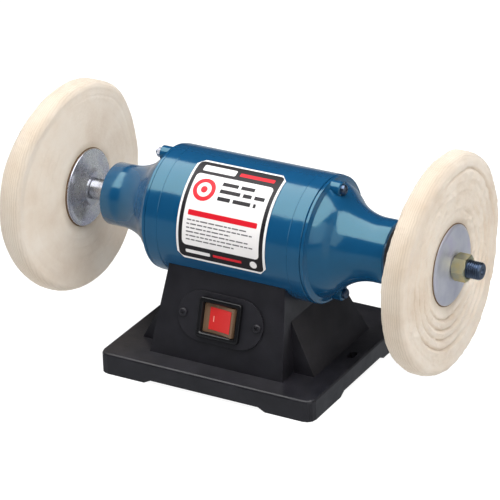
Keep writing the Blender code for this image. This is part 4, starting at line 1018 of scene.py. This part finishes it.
def rocker_patch(low, high, lift):
    """A thin plate that follows the rocker's hollow face."""
    rows = []
    steps = 12
    for i in range(steps + 1):
        x = low[0] + (high[0] - low[0]) * i / steps
        under, over = 0.2 - rocker_hollow(x), -rocker_hollow(x) - lift
        rows.append([(x, under, low[1]), (x, under, high[1]), (x, over, high[1]), (x, over, low[1])])
    return tilted(skin(rows, around=False, capped=True))


def switch_rocker():
    red = MATERIALS["red_plastic"]
    piece("rocker_frame", rocker_slab(), SMOKY, "rocker", "switch_rocker", slot="red_plastic", angle=30)
    lens = rocker_patch((-10.6, -10.2), (13.4, 10.2), 0.45)
    piece("rocker_lens", lens, red, "rocker", slot="red_plastic", angle=30)
    marks = rocker_patch((-6.6, -2.6), (-5.6, 2.6), 0.55)
    piece("rocker_marks", marks, SWITCH_MARK, "rocker", slot="red_plastic", angle=30)


# ---------------------------------------------------------------- screws

CROSS_WIDTH = 0.9
PLATE_SCREW_OUT = 37.8  # from the switch's middle


def screw_shape(head_radius, head, shank_radius, length, count=32):
    """A pan-headed cross-slot screw. Its head's underside is at 0, its crown at -head, its shank goes up."""
    crown = [(0, -head)]
    for i in range(1, 9):
        a = math.pi / 2 * i / 8
        crown.append((head_radius * math.sin(a), -head + 0.55 * head * (1 - math.cos(a))))
    profile = crown + [(head_radius, 0), (shank_radius, 0), (shank_radius, length - 0.5)]
    profile += [(shank_radius - 0.5, length)]
    rows = []
    for radius, along in profile:
        if radius == 0:
            rows.append([(0, 0, along)])
            continue
        turns = (2 * math.pi * i / count for i in range(count))
        rows.append([(radius * math.cos(a), radius * math.sin(a), along) for a in turns])
    rows.append([(0, 0, length)])
    solid = skin(rows, around=False)
    slots = []
    for half_x, half_y in ((0.55 * head_radius, CROSS_WIDTH / 2), (CROSS_WIDTH / 2, 0.55 * head_radius)):
        corners = [(-half_x, -half_y), (half_x, -half_y), (half_x, half_y), (-half_x, half_y)]
        slots.append(skin([[(x, y, z) for x, y in corners] for z in (-head - 1, -head + 0.6 * head)],
                          around=False, capped=True))
    return combined(solid, slots, "DIFFERENCE")


def placed_screw(node, along, material):
    """Stands for a CAD screw, sized by the CAD's box, whose shank points along the given direction."""
    low, high = box(node)
    size = high - low
    axis = max(range(3), key=lambda k: abs(along[k]))
    head_radius = min(size[k] for k in range(3) if k != axis) / 2
    length = size[axis] * 0.82
    head = size[axis] - length
    if head > 0.9 * head_radius:
        head = 0.9 * head_radius
        length = size[axis] - head
    centre = (low + high) / 2
    centre[axis] = low[axis] + head if along[axis] > 0 else high[axis] - head
    shape = screw_shape(head_radius, head, head_radius * 0.52, length)
    turn = Vector((0, 0, 1)).rotation_difference(Vector(along)).to_matrix().to_4x4()
    turn.translation = centre
    bmesh.ops.transform(shape, matrix=turn, verts=shape.verts)
    piece(f"{node}_detail", shape, material, "housing", node, slot="zinc_plate", angle=35)


def plate_screws():
    for number, side in enumerate((-1, 1), 1):
        shape = screw_shape(3.9, 2.3, 1.9, 9)
        turn = Matrix.Rotation(math.radians(-90), 4, "X") @ Matrix.Rotation(math.radians(25 * side), 4, "Z")
        turn.translation = Vector((side * PLATE_SCREW_OUT, -PIVOT_DEPTH + BEZEL_PROUD, 0))
        bmesh.ops.transform(shape, matrix=turn, verts=shape.verts)
        name, node = f"plate_screw_{number}_detail", f"plate_screw_{number}"
        piece(name, on_switch(shape), SHEET_BLACK, "housing", node, slot="black_enamel", angle=35)


def small_screws():
    for number in range(1, 5):
        placed_screw(f"cover_screw_{number}", (0, 0, 1), MATERIALS["zinc_plate"])
    for word in ("upper", "lower"):
        placed_screw(f"{word}_tie_bolt", (-1, 0, 0), BLUED)


# ---------------------------------------------------------------- carried-over CAD nodes

EASED_NODES = {
    "base_casting": (1.5, 3),
    "bottom_cover": (0.4, 2),
    "switch_plate": (0.4, 2),
    "cable_gland": (0.4, 2),
    "gland_locknut": (0.3, 2),
    "upper_tie_nut": (0.4, 2),
    "lower_tie_nut": (0.4, 2),
}


def ease_edges(node, width, segments):
    """Rounds a CAD node's hard edges without changing its own mesh."""
    obj = frame["nodes"][node]
    weld = obj.modifiers.new("weld", "WELD")
    weld.merge_threshold = 0.00002
    bevel = obj.modifiers.new("bevel", "BEVEL")
    bevel.width = width * MM
    bevel.segments = segments
    bevel.limit_method = "ANGLE"
    bevel.angle_limit = math.radians(24)
    bevel.use_clamp_overlap = True
    bevel.harden_normals = False
    normals = obj.modifiers.new("normals", "WEIGHTED_NORMAL")
    normals.keep_sharp = True


def dress_nodes():
    slots = {row["node"]: row["material_slot"] for row in frame["record"]["subparts"]}
    for node, obj in frame["nodes"].items():
        material = MATERIALS[slots[node]]
        if node == "switch_plate":
            material = SHEET_BLACK
        obj.data.materials.clear()
        obj.data.materials.append(material)
    for node, (width, segments) in EASED_NODES.items():
        ease_edges(node, width, segments)


# ---------------------------------------------------------------- stage

# In metres
STAGE_HALF = 6.0
BACKDROP_SIDES = 48
CAMERA_PLACE = (1.21738, -2.10914, 1.27391)
# In degrees
CAMERA_YAW = -30.07
CAMERA_PITCH = 25.65
CAMERA_ROLL = -1.68
CAMERA_LENS = 215.2  # millimetres, on a 36 mm sensor


def camera():
    yaw, pitch, roll = (math.radians(a) for a in (CAMERA_YAW, CAMERA_PITCH, CAMERA_ROLL))
    ahead = Vector((math.sin(yaw) * math.cos(pitch), math.cos(yaw) * math.cos(pitch), -math.sin(pitch)))
    right = Vector((math.cos(yaw), -math.sin(yaw), 0))
    up = right.cross(ahead)
    rolled_right = right * math.cos(roll) + up * math.sin(roll)
    rolled_up = up * math.cos(roll) - right * math.sin(roll)
    data = bpy.data.cameras.new("camera")
    data.lens = CAMERA_LENS
    data.sensor_width = 36.0
    obj = bpy.data.objects.new("camera", data)
    facing = Matrix((rolled_right, rolled_up, -ahead)).transposed().to_4x4()
    obj.matrix_world = Matrix.Translation(CAMERA_PLACE) @ facing
    bpy.context.scene.collection.objects.link(obj)
    bpy.context.scene.camera = obj


def softbox(name, place, target, size, brightness, color=(1, 1, 1)):
    """A rectangular light of that radiance, facing the target."""
    data = bpy.data.lights.new(name, "AREA")
    data.shape = "RECTANGLE"
    data.size, data.size_y = size
    data.energy = brightness * math.pi * size[0] * size[1]
    data.color = color
    obj = bpy.data.objects.new(name, data)
    obj.location = place
    obj.rotation_mode = "QUATERNION"
    obj.rotation_quaternion = (Vector(target) - Vector(place)).to_track_quat("-Z", "Y")
    bpy.context.scene.collection.objects.link(obj)
    return obj


def studio_sheet(name, corners, faces, paper):
    """A plain sheet that reflections don't show."""
    mesh = bpy.data.meshes.new(name)
    mesh.from_pydata(corners, [], faces)
    mesh.materials.append(paper.material)
    sheet = bpy.data.objects.new(name, mesh)
    bpy.context.scene.collection.objects.link(sheet)
    sheet.visible_glossy = False
    return sheet


def studio_world():
    """Nearly dark above, and below the horizon as bright as a table that the object's gloss shows."""
    world = bpy.data.worlds.new("studio")
    world.use_nodes = True
    nodes, links = world.node_tree.nodes, world.node_tree.links
    direction = nodes.new("ShaderNodeTexCoord")
    height = nodes.new("ShaderNodeSeparateXYZ")
    glow = nodes.new("ShaderNodeMapRange")
    glow.inputs["From Min"].default_value = -0.06
    glow.inputs["From Max"].default_value = 0.04
    glow.inputs["To Min"].default_value = 0.4
    glow.inputs["To Max"].default_value = 0.05
    links.new(direction.outputs["Generated"], height.inputs["Vector"])
    links.new(height.outputs["Z"], glow.inputs["Value"])
    links.new(glow.outputs["Result"], nodes["Background"].inputs["Strength"])
    nodes["Background"].inputs["Color"].default_value = (0.9, 0.95, 1.0, 1)
    bpy.context.scene.world = world


def stage():
    paper = Shader("floor_paper", (0.2, 0.2, 0.2), 0.9)
    paper.set("Specular IOR Level", 0.0)
    paper.set("Emission Color", (1, 1, 1, 1))
    paper.set("Emission Strength", 0.94)
    half = STAGE_HALF
    corners = [(-half, -half, 0), (half, -half, 0), (half, half, 0), (-half, half, 0)]
    floor = studio_sheet("floor", corners, [(0, 1, 2, 3)], paper)
    turns = [2 * math.pi * i / BACKDROP_SIDES for i in range(BACKDROP_SIDES)]
    ring = [(half * math.cos(a), half * math.sin(a)) for a in turns]
    low, high = [(x, y, 0) for x, y in ring], [(x, y, half) for x, y in ring]
    after = [(i + 1) % BACKDROP_SIDES for i in range(BACKDROP_SIDES)]
    walls = [(i, k, BACKDROP_SIDES + k, BACKDROP_SIDES + i) for i, k in enumerate(after)]
    backdrop = studio_sheet("backdrop", low + high, walls, paper)
    backdrop.visible_diffuse = backdrop.visible_shadow = False
    studio_world()
    softbox("overhead", (0, -0.23, 1.15), (0, -0.23, 0), (2.4, 1.4), 3.6)
    softbox("camera_fill", (2.0, -1.3, 1.1), (0, 0, 0.1), (1.6, 1.4), 1.05)
    bpy.context.scene.view_settings.view_transform = "Standard"
    bpy.context.scene.view_settings.look = "None"


# ---------------------------------------------------------------- everything, in order

camera()
stage()
dress_nodes()
motor_barrel()
spindle_middle()
for side_name, side_sign in SIDES:
    end_bell(side_name, side_sign)
    threaded_end(side_name, side_sign)
    inner_flange(side_name, side_sign)
    outer_flange(side_name, side_sign)
    spindle_nut(side_name, side_sign)
    buff_wheel(side_name, side_sign)
    fibre_discs(side_name, side_sign)
label()
switch_body()
switch_rocker()
plate_screws()
small_screws()
